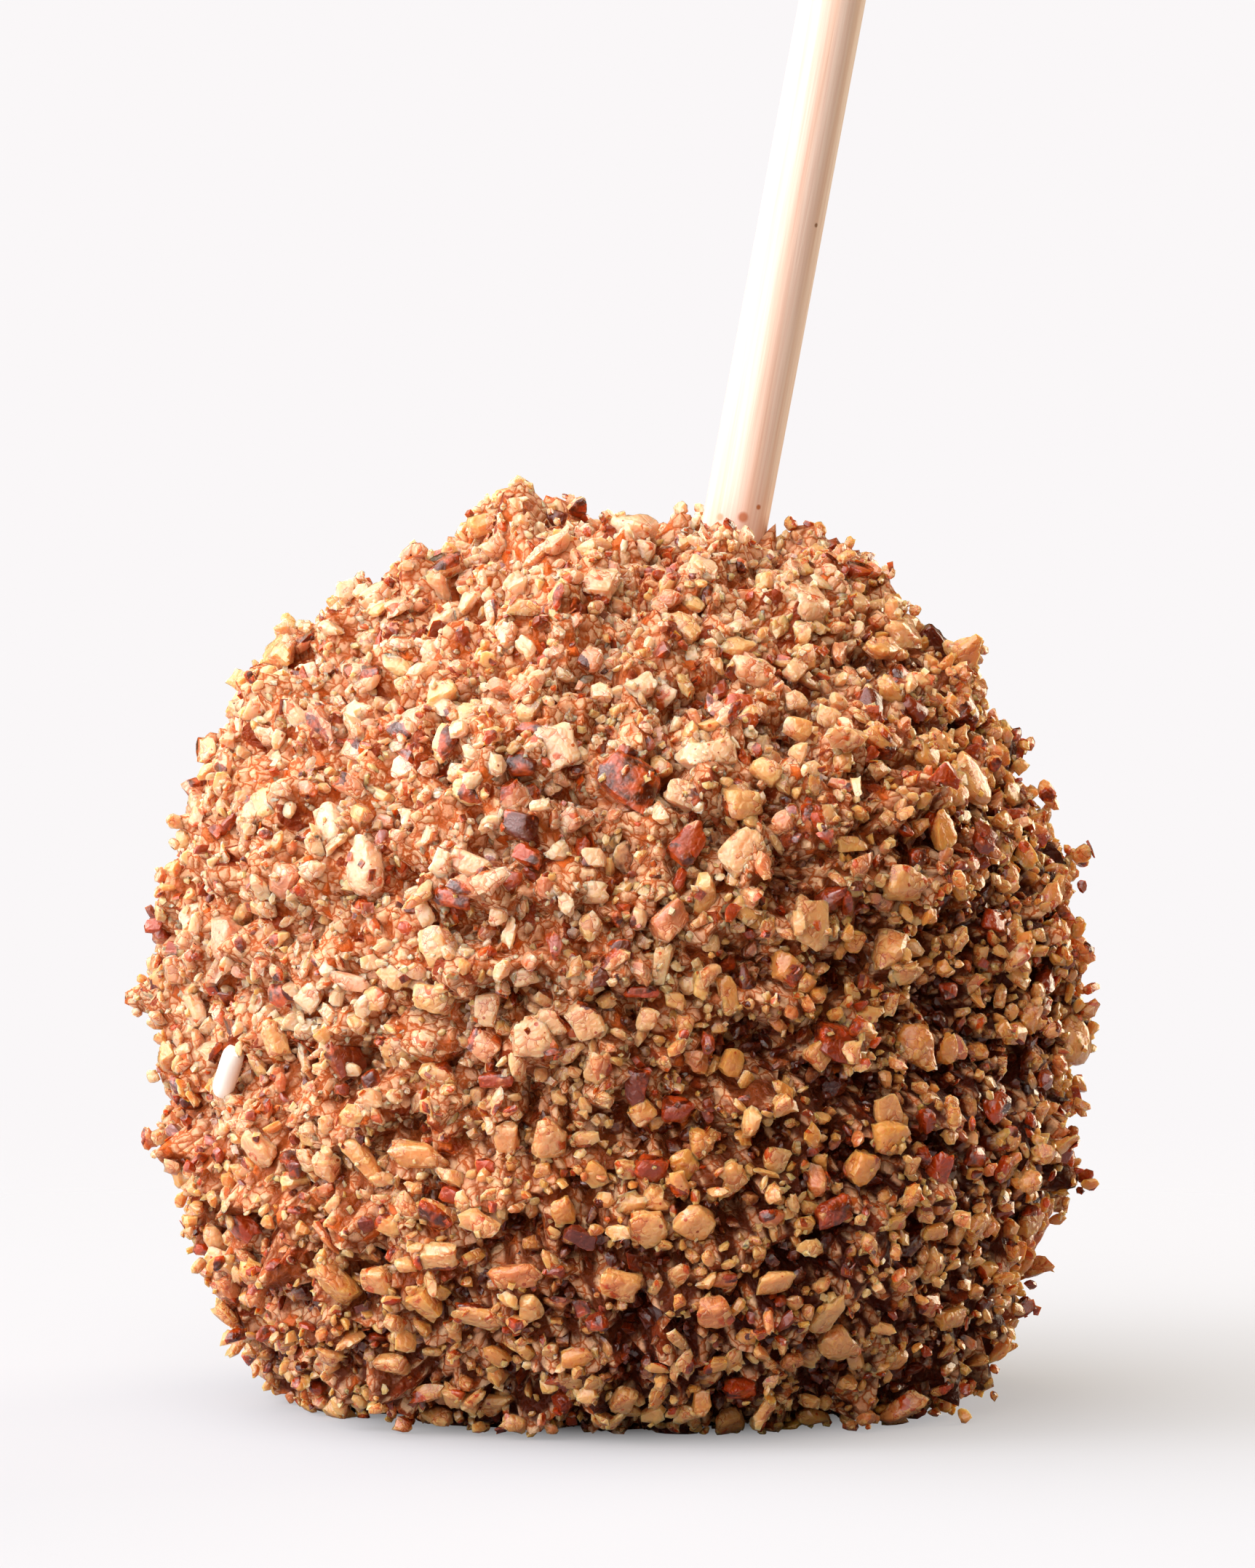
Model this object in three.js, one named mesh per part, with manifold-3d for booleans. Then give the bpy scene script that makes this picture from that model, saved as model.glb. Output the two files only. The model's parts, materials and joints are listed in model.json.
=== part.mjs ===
// A caramel apple rolled in chopped pecans, on a round wooden stick.
// Millimetres, +Z up, the front towards -Y. The origin is the middle of the flat foot
// that the apple stands on.
//
// The coated apple is one solid: the caramel-covered apple with the larger pieces of nut
// and one sugar strand fused to it. The stick is a second solid in a blind hole.

import * as THREE from "three";
import { ConvexGeometry } from "three/addons/geometries/ConvexGeometry.js";
import { mergeVertices } from "three/addons/utils/BufferGeometryUtils.js";
import Module from "manifold-3d";

const wasm = await Module();
wasm.setup();

// ---- Driving dimensions ----

// The caramel apple under its nuts: a rounded barrel, fuller at the foot than at the crown.
const BODY_HALF_WIDTH = 41.9;
const BODY_MIDDLE = 45;
const CROWN_RISE = 40.2;
const FOOT_DROP = 47.0;
const CROWN_SQUARENESS = 2.02;
const FOOT_SQUARENESS = 3.9;
const BODY_RINGS = 12;

// The stick: a quarter-inch dowel, 140 long, leaning to the right.
const STICK_DIAMETER = 6.35;
const STICK_LENGTH = 140;
const STICK_SUNK = 58;
const STICK_LEAN = THREE.MathUtils.degToRad(10.5);
const STICK_ENTRY = new THREE.Vector3(10.4, 0, 83.5);
const STICK_SIDES = 36;
const STICK_CHAMFER = 0.5;
const HOLE_CLEARANCE = 0.3;

// Broad swellings and hollows of the coat: where they are, how wide and how high.
const SWELLINGS = [
  { name: "stick_hollow", x: 10.4, y: 0, z: 85, reach: 9, height: -3.4 },
  { name: "left_crown", x: -9, y: -4, z: 85, reach: 9, height: 2.1 },
  { name: "left_slope", x: -22, y: -2, z: 80, reach: 8, height: -1.7 },
  { name: "right_crown", x: 19, y: 0, z: 83, reach: 7, height: 2.3 },
  { name: "right_slope", x: 28, y: 0, z: 78, reach: 8, height: -1.5 },
  { name: "left_shoulder", x: -36, y: -8, z: 65, reach: 13, height: 0.7 },
  { name: "right_shoulder", x: 38, y: -3, z: 62, reach: 12, height: -1.1 },
  { name: "left_belly", x: -43, y: -4, z: 44, reach: 9, height: 2.5 },
  { name: "right_belly", x: 42, y: -4, z: 46, reach: 13, height: 0.6 },
  { name: "left_hip", x: -38, y: -4, z: 15, reach: 10, height: 1.9 },
  { name: "right_hip", x: 42, y: -3, z: 25, reach: 7, height: 2.0 },
  { name: "right_notch", x: 42, y: -6, z: 18.5, reach: 4.5, height: -1.6 },
  { name: "front_belly", x: -6, y: -42, z: 52, reach: 14, height: 1.0 },
  { name: "front_crease", x: -13, y: -42, z: 20.5, reach: 4.2, height: -1.8 },
  { name: "low_hollow", x: -2, y: -40, z: 13, reach: 4, height: -1.6 },
  { name: "low_left_roll", x: -20, y: -36, z: 12, reach: 9, height: 1.2 },
];

// Undulation of the whole coat, and the crags of the fine nut meal.
const UNDULATION = { seed: 11, waves: 10, shortest: 17, longest: 34, height: 0.36 };
const MEAL_CRAGS = { seed: 23, height: 1.3 };

// Pieces of nut that stand out, placed by hand: x and z as seen from the front,
// length, width and turn (degrees) on the surface.
const LANDMARKS = [
  { x: 17.4, z: 78.0, long: 6.4, wide: 4.8, turn: 85 },
  { x: 8.0, z: 64.4, long: 6.6, wide: 3.6, turn: 5 },
  { x: 0.6, z: 62.3, long: 7.4, wide: 5.0, turn: -38 },
  { x: -6.1, z: 64.9, long: 6.6, wide: 3.8, turn: -60 },
  { x: 5.5, z: 60.8, long: 4.8, wide: 3.2, turn: -25 },
  { x: 10.5, z: 59.8, long: 4.4, wide: 3.6, turn: 0 },
  { x: 12.4, z: 72.6, long: 4.7, wide: 3.4, turn: -15 },
  { x: 24.5, z: 73.8, long: 4.6, wide: 3.4, turn: 0 },
  { x: 23.3, z: 68.6, long: 4.4, wide: 3.2, turn: 65 },
  { x: -2.4, z: 79.3, long: 5.6, wide: 4.6, turn: 80 },
  { x: -17.3, z: 77.5, long: 4.2, wide: 3.6, turn: -30 },
  { x: -19.6, z: 67.5, long: 5.6, wide: 3.0, turn: 40 },
  { x: -20.3, z: 71.6, long: 4.6, wide: 2.3, turn: 3 },
  { x: -24.8, z: 71.6, long: 4.2, wide: 3.2, turn: 30 },
  { x: -26.0, z: 68.3, long: 4.2, wide: 3.4, turn: -20 },
  { x: -10.9, z: 85.4, long: 4.6, wide: 3.2, turn: 25 },
  { x: -23.4, z: 77.6, long: 4.2, wide: 3.6, turn: 60 },
  { x: -27.6, z: 57.7, long: 5.4, wide: 4.4, turn: -65 },
  { x: -23.9, z: 53.8, long: 7.5, wide: 3.8, turn: -72 },
  { x: -13.4, z: 54.3, long: 5.0, wide: 3.0, turn: -15 },
  { x: -15.2, z: 51.5, long: 5.2, wide: 2.5, turn: -8 },
  { x: -9.2, z: 57.8, long: 4.6, wide: 3.6, turn: -20 },
  { x: 6.0, z: 56.4, long: 5.2, wide: 3.4, turn: 50 },
  { x: 10.3, z: 55.8, long: 5.4, wide: 4.0, turn: 40 },
  { x: 16.7, z: 49.5, long: 5.0, wide: 4.4, turn: 75 },
  { x: 17.1, z: 58.5, long: 4.5, wide: 3.0, turn: -10 },
  { x: -16.3, z: 47.3, long: 4.4, wide: 3.6, turn: -60 },
  { x: -17.4, z: 42.6, long: 5.6, wide: 3.2, turn: -10 },
  { x: -7.8, z: 39.3, long: 5.4, wide: 4.8, turn: 5 },
  { x: -3.6, z: 41.0, long: 4.6, wide: 3.2, turn: -65 },
  { x: -12.6, z: 38.4, long: 4.0, wide: 3.4, turn: -30 },
  { x: 28.2, z: 37.0, long: 5.0, wide: 4.2, turn: 85 },
  { x: 9.6, z: 42.8, long: 4.6, wide: 2.4, turn: -75 },
  { x: 15.3, z: 45.2, long: 4.0, wide: 3.4, turn: -30 },
  { x: -33.1, z: 27.6, long: 5.8, wide: 4.0, turn: -35 },
  { x: -23.6, z: 27.4, long: 6.8, wide: 2.6, turn: -52 },
  { x: -19.0, z: 28.0, long: 6.2, wide: 3.4, turn: -5 },
  { x: -6.8, z: 29.6, long: 4.8, wide: 4.2, turn: 75 },
  { x: 6.5, z: 22.2, long: 5.0, wide: 4.4, turn: -30 },
  { x: 2.2, z: 22.0, long: 4.4, wide: 4.0, turn: 80 },
  { x: 9.6, z: 25.9, long: 5.0, wide: 3.2, turn: 35 },
  { x: 21.4, z: 26.9, long: 4.2, wide: 3.6, turn: 60 },
  { x: -16.7, z: 18.8, long: 5.2, wide: 3.6, turn: 10 },
  { x: -10.4, z: 17.4, long: 6.4, wide: 3.6, turn: 15 },
  { x: -13.0, z: 13.0, long: 6.2, wide: 2.6, turn: -20 },
  { x: -0.6, z: 16.7, long: 4.8, wide: 3.2, turn: -15 },
  { x: 7.9, z: 14.6, long: 4.6, wide: 3.8, turn: 10 },
  { x: 18.2, z: 13.2, long: 5.6, wide: 2.6, turn: 70 },
  { x: -16.8, z: 22.7, long: 4.6, wide: 3.2, turn: -45 },
  { x: 18.5, z: 23.2, long: 4.8, wide: 2.8, turn: 20 },
  { x: -5.2, z: 6.3, long: 5.6, wide: 2.4, turn: 0 },
  { x: 11.0, z: 5.2, long: 4.6, wide: 3.0, turn: 5 },
  { x: 28.6, z: 56.8, long: 5.0, wide: 3.0, turn: 80 },
  { x: -30.8, z: 52.5, long: 4.6, wide: 3.4, turn: 60 },
  { x: 41.0, z: 56.0, long: 4.0, wide: 3.6, turn: 80 },
  { x: 28.7, z: 26.0, long: 4.6, wide: 2.6, turn: 85 },
  { x: 34.8, z: 30.8, long: 4.0, wide: 3.0, turn: 20 },
  { x: 12.3, z: 32.2, long: 4.2, wide: 3.4, turn: 20 },
  { x: -6.8, z: 85.0, long: 4.0, wide: 2.8, turn: 0 },
  { x: -42.6, z: 46.0, long: 3.4, wide: 3.0, turn: 10 },
];

// The rest of the larger pieces, spread over the whole apple.
const PIECE_COUNT = 206;
const PIECE_SEED = 5;
const PIECE_LONGEST = 6.2;
const PIECE_SHORTEST = 3.0;
const PIECE_SPACING = 3.8;
const STICK_MARGIN = 3.2;
const PIECE_THICKNESS = 0.72;
const PIECE_PROUD = 0.22;
const PIECE_JITTER = 0.55;

// One short sugar strand on the left.
const STRAND = { x: -37.1, z: 33.9, long: 5.4, radius: 1.1, along: [0.26, -0.55, 0.79], proud: 0.8 };

const NUT = { color: 0xd9a77c, roughness: 0.6, metalness: 0 };
const WOOD = { color: 0xf0d9c2, roughness: 0.55, metalness: 0 };

// ---- Chance ----

// A seeded source of numbers from 0 to 1.
function makeRandom(seed) {
  let state = seed >>> 0;
  return () => {
    state = (Math.imul(state, 1664525) + 1013904223) >>> 0;
    return state / 4294967296;
  };
}

// Plane waves in random directions, whose sum is a smooth random relief.
function makeWaves({ seed, waves, shortest, longest }) {
  const random = makeRandom(seed);
  return Array.from({ length: waves }, () => {
    const rise = 2 * random() - 1;
    const turn = 2 * Math.PI * random();
    const wavelength = shortest + (longest - shortest) * random();
    const flat = Math.sqrt(1 - rise * rise);
    const direction = new THREE.Vector3(flat * Math.cos(turn), flat * Math.sin(turn), rise);
    return { direction, pitch: (2 * Math.PI) / wavelength, phase: 2 * Math.PI * random() };
  });
}

function relief(point, waves) {
  return waves.reduce((sum, w) => sum + Math.sin(point.dot(w.direction) * w.pitch + w.phase), 0);
}

// ---- The apple's surface ----

const CENTRE = new THREE.Vector3(0, 0, BODY_MIDDLE);
const undulation = makeWaves(UNDULATION);

// Distance from the centre to the smooth barrel along a unit direction.
function barrelRadius(direction) {
  const rising = direction.z >= 0;
  const power = rising ? CROWN_SQUARENESS : FOOT_SQUARENESS;
  const rise = rising ? CROWN_RISE : FOOT_DROP;
  const across = Math.hypot(direction.x, direction.y) / BODY_HALF_WIDTH;
  const along = Math.abs(direction.z) / rise;
  return (across ** power + along ** power) ** (-1 / power);
}

// The point of the coat in a unit direction, with its swellings and undulation.
function coatPoint(direction) {
  const smooth = direction.clone().multiplyScalar(barrelRadius(direction)).add(CENTRE);
  const swell = SWELLINGS.reduce((sum, s) => {
    const away = Math.hypot(smooth.x - s.x, smooth.y - s.y, smooth.z - s.z) / s.reach;
    return sum + s.height * Math.exp(-away * away);
  }, 0);
  const lift = swell + UNDULATION.height * relief(smooth, undulation);
  return smooth.addScaledVector(direction, lift);
}

// The barrel's half-width at a height, which turns a place seen from the front into a direction.
function directionAt(x, z) {
  const rising = z >= BODY_MIDDLE;
  const power = rising ? CROWN_SQUARENESS : FOOT_SQUARENESS;
  const rise = rising ? CROWN_RISE : FOOT_DROP;
  const along = Math.min(Math.abs(z - BODY_MIDDLE) / rise, 0.98);
  const width = BODY_HALF_WIDTH * (1 - along ** power) ** (1 / power);
  const side = THREE.MathUtils.clamp(x / width, -0.99, 0.99);
  const drop = Math.sign(z - BODY_MIDDLE) * along * rise;
  return new THREE.Vector3(side * width, -Math.sqrt(1 - side * side) * width, drop).normalize();
}

// ---- Solids ----

function toSolid(geometry) {
  const bare = new THREE.BufferGeometry();
  const position = geometry.getAttribute("position").clone();
  bare.setAttribute("position", position);
  if (geometry.index) bare.setIndex(geometry.index.clone());
  const merged = mergeVertices(bare, 1e-4);
  return new wasm.Manifold(
    new wasm.Mesh({
      numProp: 3,
      vertProperties: merged.getAttribute("position").array,
      triVerts: new Uint32Array(merged.index.array),
    }),
  );
}

function toGeometry(solid) {
  const mesh = solid.getMesh();
  const geometry = new THREE.BufferGeometry();
  geometry.setAttribute("position", new THREE.BufferAttribute(mesh.vertProperties, 3));
  geometry.setIndex(new THREE.BufferAttribute(mesh.triVerts, 1));
  const faceted = geometry.toNonIndexed();
  faceted.computeVertexNormals();
  return faceted;
}

// The caramel apple under its pieces, with the crags of the meal: every corner a little in or out.
function makeCore() {
  const bare = new THREE.IcosahedronGeometry(1, BODY_RINGS);
  const geometry = mergeVertices(bare.deleteAttribute("normal").deleteAttribute("uv"));
  const position = geometry.getAttribute("position");
  const random = makeRandom(MEAL_CRAGS.seed);
  const direction = new THREE.Vector3();
  for (let i = 0; i < position.count; i++) {
    direction.fromBufferAttribute(position, i).normalize();
    const point = coatPoint(direction);
    point.addScaledVector(direction, MEAL_CRAGS.height * (random() - 0.5));
    position.setXYZ(i, point.x, point.y, point.z);
  }
  return toSolid(geometry);
}

// A frame on the surface: X along the piece, Y across it and Z outwards.
function surfaceFrame(direction, turn, sunk) {
  const here = coatPoint(direction);
  const outward = direction.clone();
  const level = new THREE.Vector3(-direction.y, direction.x, 0);
  if (level.length() < 1e-3) level.set(1, 0, 0);
  level.normalize();
  const upward = new THREE.Vector3().crossVectors(outward, level);
  const along = level.clone().multiplyScalar(Math.cos(turn)).addScaledVector(upward, Math.sin(turn));
  const across = new THREE.Vector3().crossVectors(outward, along);
  const frame = new THREE.Matrix4().makeBasis(along, across, outward);
  return frame.setPosition(here.addScaledVector(outward, -sunk));
}

// The eight corners of a block that reaches from -1 to 1 each way.
const BLOCK_CORNERS = [];
for (const x of [-1, 1]) {
  for (const y of [-1, 1]) {
    for (const z of [-1, 1]) BLOCK_CORNERS.push(new THREE.Vector3(x, y, z));
  }
}

// An angular piece of nut: a block with every corner knocked about.
function makePiece(direction, long, wide, turn, random) {
  const thick = wide * PIECE_THICKNESS;
  const half = new THREE.Vector3(long / 2, wide / 2, thick / 2);
  const points = BLOCK_CORNERS.map((corner) => {
    const knock = new THREE.Vector3(random(), random(), random()).multiplyScalar(PIECE_JITTER);
    return corner.clone().multiply(knock.subScalar(1).negate()).multiply(half);
  });
  const geometry = new ConvexGeometry(points);
  return toSolid(geometry.applyMatrix4(surfaceFrame(direction, turn, -PIECE_PROUD * thick)));
}

// Places spread evenly over the apple, each moved a little, clear of the landmarks and the stick.
function spreadDirections(random, taken) {
  const golden = Math.PI * (3 - Math.sqrt(5));
  const found = [];
  for (let i = 0; i < PIECE_COUNT; i++) {
    const rise = 1 - (2 * (i + 0.5)) / PIECE_COUNT + 0.05 * (random() - 0.5);
    const turn = golden * i + 0.12 * (random() - 0.5);
    const flat = Math.sqrt(Math.max(0, 1 - rise * rise));
    const direction = new THREE.Vector3(flat * Math.cos(turn), flat * Math.sin(turn), rise).normalize();
    const here = coatPoint(direction);
    if (here.z < 1) continue;
    if (stickDistance(here) < STICK_DIAMETER / 2 + STICK_MARGIN) continue;
    if (taken.some((t) => coatPoint(t).distanceTo(here) < PIECE_SPACING)) continue;
    found.push(direction);
  }
  return found;
}

// ---- The stick and its hole ----

const stickAxis = new THREE.Vector3(Math.sin(STICK_LEAN), 0, Math.cos(STICK_LEAN));
const stickTip = STICK_ENTRY.clone().addScaledVector(stickAxis, -STICK_SUNK);

function stickDistance(point) {
  const from = point.clone().sub(stickTip);
  return from.addScaledVector(stickAxis, -from.dot(stickAxis)).length();
}

// A chamfered round bar from the tip along the stick's axis.
function barGeometry(radius, start, length, chamfer) {
  const profile = [
    new THREE.Vector2(0, start),
    new THREE.Vector2(radius - chamfer, start),
    new THREE.Vector2(radius, start + chamfer),
    new THREE.Vector2(radius, start + length - chamfer),
    new THREE.Vector2(radius - chamfer, start + length),
    new THREE.Vector2(0, start + length),
  ];
  const bar = new THREE.LatheGeometry(profile, STICK_SIDES);
  const stand = new THREE.Quaternion().setFromUnitVectors(new THREE.Vector3(0, 1, 0), stickAxis);
  return bar.applyQuaternion(stand).translate(stickTip.x, stickTip.y, stickTip.z);
}

function makeHole() {
  const radius = STICK_DIAMETER / 2 + HOLE_CLEARANCE;
  return toSolid(barGeometry(radius, -HOLE_CLEARANCE, STICK_LENGTH, STICK_CHAMFER));
}

// ---- Building ----

function makeStrand() {
  const geometry = new THREE.CapsuleGeometry(STRAND.radius, STRAND.long - 2 * STRAND.radius, 2, 8);
  const along = new THREE.Vector3(...STRAND.along).normalize();
  geometry.applyQuaternion(new THREE.Quaternion().setFromUnitVectors(new THREE.Vector3(0, 1, 0), along));
  const direction = directionAt(STRAND.x, STRAND.z);
  const middle = coatPoint(direction).addScaledVector(direction, STRAND.proud);
  return toSolid(geometry.translate(middle.x, middle.y, middle.z));
}

function makeCoatedApple() {
  const random = makeRandom(PIECE_SEED);
  const named = LANDMARKS.map((l) => directionAt(l.x, l.z));
  const landmarks = LANDMARKS.map((l, i) =>
    makePiece(named[i], l.long, l.wide, THREE.MathUtils.degToRad(l.turn), random),
  );
  const pieces = spreadDirections(random, named).map((direction) => {
    const long = PIECE_SHORTEST + (PIECE_LONGEST - PIECE_SHORTEST) * random() ** 2;
    return makePiece(direction, long, long * (0.6 + 0.3 * random()), Math.PI * random(), random);
  });
  let solid = makeCore();
  for (const piece of [...landmarks, ...pieces, makeStrand()]) solid = solid.add(piece);
  const ground = toSolid(new THREE.BoxGeometry(200, 200, 20).translate(0, 0, -10));
  solid = solid.subtract(makeHole()).subtract(ground);
  const bodies = solid.decompose();
  return bodies.reduce((a, b) => (a.volume() > b.volume() ? a : b));
}

function makeMesh(name, geometry, finish) {
  const mesh = new THREE.Mesh(geometry, new THREE.MeshStandardMaterial(finish));
  mesh.name = name;
  return mesh;
}

const caramelApple = new THREE.Group();
caramelApple.add(makeMesh("coated_apple", toGeometry(makeCoatedApple()), NUT));
caramelApple.add(makeMesh("stick", barGeometry(STICK_DIAMETER / 2, 0, STICK_LENGTH, STICK_CHAMFER), WOOD));

export default caramelApple;
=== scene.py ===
# %% [markdown]
# # A caramel apple rolled in chopped pecans
#
# A whole apple is pushed onto a stick, dipped in caramel and rolled in chopped nuts, and it
# sets with a flat foot where it stood. Nearly all that can be seen is nut: thousands of
# broken bits, from crumbs to pieces as long as a fingernail is wide. This lesson makes them
# as real meshes, in layers, on the form that the solids give.

# %% Load the solids as a fixed frame
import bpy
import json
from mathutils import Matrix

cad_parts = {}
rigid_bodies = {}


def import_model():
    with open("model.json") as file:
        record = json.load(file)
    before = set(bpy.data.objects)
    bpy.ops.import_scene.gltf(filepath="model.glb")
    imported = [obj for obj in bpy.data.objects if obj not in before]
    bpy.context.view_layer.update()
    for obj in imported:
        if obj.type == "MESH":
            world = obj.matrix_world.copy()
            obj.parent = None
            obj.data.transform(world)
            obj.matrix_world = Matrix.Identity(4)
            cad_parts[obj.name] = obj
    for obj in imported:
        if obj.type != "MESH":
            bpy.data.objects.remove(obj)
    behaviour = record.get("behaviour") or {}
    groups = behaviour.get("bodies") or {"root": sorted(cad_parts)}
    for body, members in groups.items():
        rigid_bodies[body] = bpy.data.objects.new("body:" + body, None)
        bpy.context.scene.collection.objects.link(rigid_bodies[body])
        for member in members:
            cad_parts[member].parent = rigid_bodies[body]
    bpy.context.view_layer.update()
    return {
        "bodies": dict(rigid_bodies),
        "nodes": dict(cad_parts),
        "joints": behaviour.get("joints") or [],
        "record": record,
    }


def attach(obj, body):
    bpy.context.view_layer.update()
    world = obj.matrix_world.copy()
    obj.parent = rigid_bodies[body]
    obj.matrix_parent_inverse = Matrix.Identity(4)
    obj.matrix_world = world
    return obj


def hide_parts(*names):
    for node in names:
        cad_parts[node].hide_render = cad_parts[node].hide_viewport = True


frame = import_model()

import json
import math

import bpy
import numpy as np
from mathutils import Vector, noise
from mathutils.bvhtree import BVHTree

MM = 0.001


# %% [markdown]
# ## The form under the nuts
#
# The coat is a rounded barrel with a few broad swellings and hollows. It could be read off
# the solid with rays, but the solid already carries its larger nuts. So the same short
# formula that shaped the solid is written again here, for whole arrays of directions at
# once. It also tells where the solid's larger nuts sit, because they are spread by a rule
# with a seeded source of chance.

# %% Chance, as the solids draw it
class Chance:
    """Numbers from 0 to 1, always the same for one seed."""

    def __init__(self, seed):
        self.state = seed

    def draw(self):
        self.state = (self.state * 1664525 + 1013904223) % 2**32
        return self.state / 2**32


# %% The barrel, its swellings and its undulation, in millimetres
HALF_WIDTH, MIDDLE, CROWN_RISE, FOOT_DROP = 41.9, 45.0, 40.2, 47.0
CROWN_SQUARENESS, FOOT_SQUARENESS = 2.02, 3.9
CENTRE = np.array([0.0, 0.0, MIDDLE])

# Where each swelling is, how far it reaches and how high it is.
SWELLINGS = np.array([
    (10.4, 0, 85, 9, -3.4),       # hollow round the stick
    (-9, -4, 85, 9, 2.1),         # crown, left
    (-22, -2, 80, 8, -1.7),       # slope, left
    (19, 0, 83, 7, 2.3),          # crown, right
    (28, 0, 78, 8, -1.5),         # slope, right
    (-36, -8, 65, 13, 0.7),       # shoulder, left
    (38, -3, 62, 12, -1.1),       # shoulder, right
    (-43, -4, 44, 9, 2.5),        # belly, left
    (42, -4, 46, 13, 0.6),        # belly, right
    (-38, -4, 15, 10, 1.9),       # hip, left
    (42, -3, 25, 7, 2.0),         # hip, right
    (42, -6, 18.5, 4.5, -1.6),    # notch under the right hip
    (-6, -42, 52, 14, 1.0),       # belly, front
    (-13, -42, 20.5, 4.2, -1.8),  # crease, low on the front
    (-2, -40, 13, 4, -1.6),       # hollow, low on the front
    (-20, -36, 12, 9, 1.2),       # roll, low on the left
])


def make_waves(seed, count, shortest, longest):
    """Plane waves in random directions: x, y, z, pitch and phase of each."""
    chance = Chance(seed)
    waves = []
    for _ in range(count):
        rise = 2 * chance.draw() - 1
        turn = 2 * math.pi * chance.draw()
        wavelength = shortest + (longest - shortest) * chance.draw()
        flat = math.sqrt(1 - rise * rise)
        phase = 2 * math.pi * chance.draw()
        waves.append((flat * math.cos(turn), flat * math.sin(turn), rise, 2 * math.pi / wavelength, phase))
    return np.array(waves)


def relief(points, waves):
    """The sum of the waves at each point."""
    return np.sin(points @ waves[:, :3].T * waves[:, 3] + waves[:, 4]).sum(-1)


UNDULATION = make_waves(seed=11, count=10, shortest=17, longest=34)
UNDULATION_HEIGHT = 0.36


def barrel_size(rising):
    """Squareness and reach of the half above the middle, or of the half below it."""
    power = np.where(rising, CROWN_SQUARENESS, FOOT_SQUARENESS)
    return power, np.where(rising, CROWN_RISE, FOOT_DROP)


def coat_points(directions):
    """The coat's surface in each unit direction from the middle of the apple."""
    power, reach = barrel_size(directions[:, 2] >= 0)
    across = np.hypot(directions[:, 0], directions[:, 1]) / HALF_WIDTH
    along = np.abs(directions[:, 2]) / reach
    radius = (across**power + along**power) ** (-1 / power)
    smooth = directions * radius[:, None] + CENTRE
    away = np.linalg.norm(smooth[:, None] - SWELLINGS[:, :3], axis=2) / SWELLINGS[:, 3]
    lift = (SWELLINGS[:, 4] * np.exp(-away * away)).sum(1) + UNDULATION_HEIGHT * relief(smooth, UNDULATION)
    return smooth + directions * lift[:, None]


# How near to the very top or foot, and to the outline, a place seen from the front may lie.
NEAR_END, NEAR_OUTLINE = 0.98, 0.99


def direction_at(x, z):
    """The direction of a place that is seen from the front at x and z."""
    power, reach = barrel_size(z >= MIDDLE)
    along = min(abs(z - MIDDLE) / reach, NEAR_END)
    width = HALF_WIDTH * (1 - along**power) ** (1 / power)
    side = min(max(x / width, -NEAR_OUTLINE), NEAR_OUTLINE)
    up = math.copysign(along * reach, z - MIDDLE)
    away = np.array([side * width, -math.sqrt(1 - side * side) * width, up])
    return away / np.linalg.norm(away)


front = coat_points(np.array([[0.0, -1.0, 0.0]]))[0]
print("coat in front of the middle:", front.round(2))

# %% [markdown]
# ## One bit of nut
#
# A broken nut is a lump with flat cleaved sides, blunt edges and a crumbly surface. Blender
# has no such primitive. A cube whose eight corners are knocked about is a start. Drawing its
# faces towards a ball blunts the edges, a cluster of balls swells it into lobes, and random
# planes cut flat sides, the way a nut breaks. The smallest bits need less: a nugget of twelve
# quads does, as little but its outline shows. One grid of points serves for all the bits of a
# kind: arrays with one row for each bit move thousands of copies at once, far faster than
# adding objects, and each ends up different.

# %% A grid of points on a cube, and its faces
CORNERS = np.array([(x, y, z) for x in (-1, 1) for y in (-1, 1) for z in (-1, 1)], float)
QUAD = np.array([(0, 0), (1, 0), (1, 1), (0, 1)])

# How much of its own cell of the map a face fills, and the margin round it.
MAP_FILL, MAP_MARGIN = 0.9, 0.05


def nugget_grid():
    """The cube's corners and the middles of its sides, with a quad across each of its edges."""
    middles = np.vstack([np.eye(3), -np.eye(3)])
    points = np.vstack([CORNERS, middles])
    faces, maps = [], []
    for i, first in enumerate(middles):
        for j, second in enumerate(middles[:i]):
            if first @ second == 0:
                low, high = np.flatnonzero((CORNERS @ first > 0) & (CORNERS @ second > 0))
                face = [low, 8 + i, high, 8 + j]
                a, b, c = points[face[:3]]
                faces.append(face if np.cross(b - a, c - a) @ (first + second) > 0 else face[::-1])
                row, column = divmod(len(maps), 4)
                maps.append((QUAD * MAP_FILL + MAP_MARGIN + (column, row)) / 4)
    return points, np.array(faces), np.array(maps)


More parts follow.
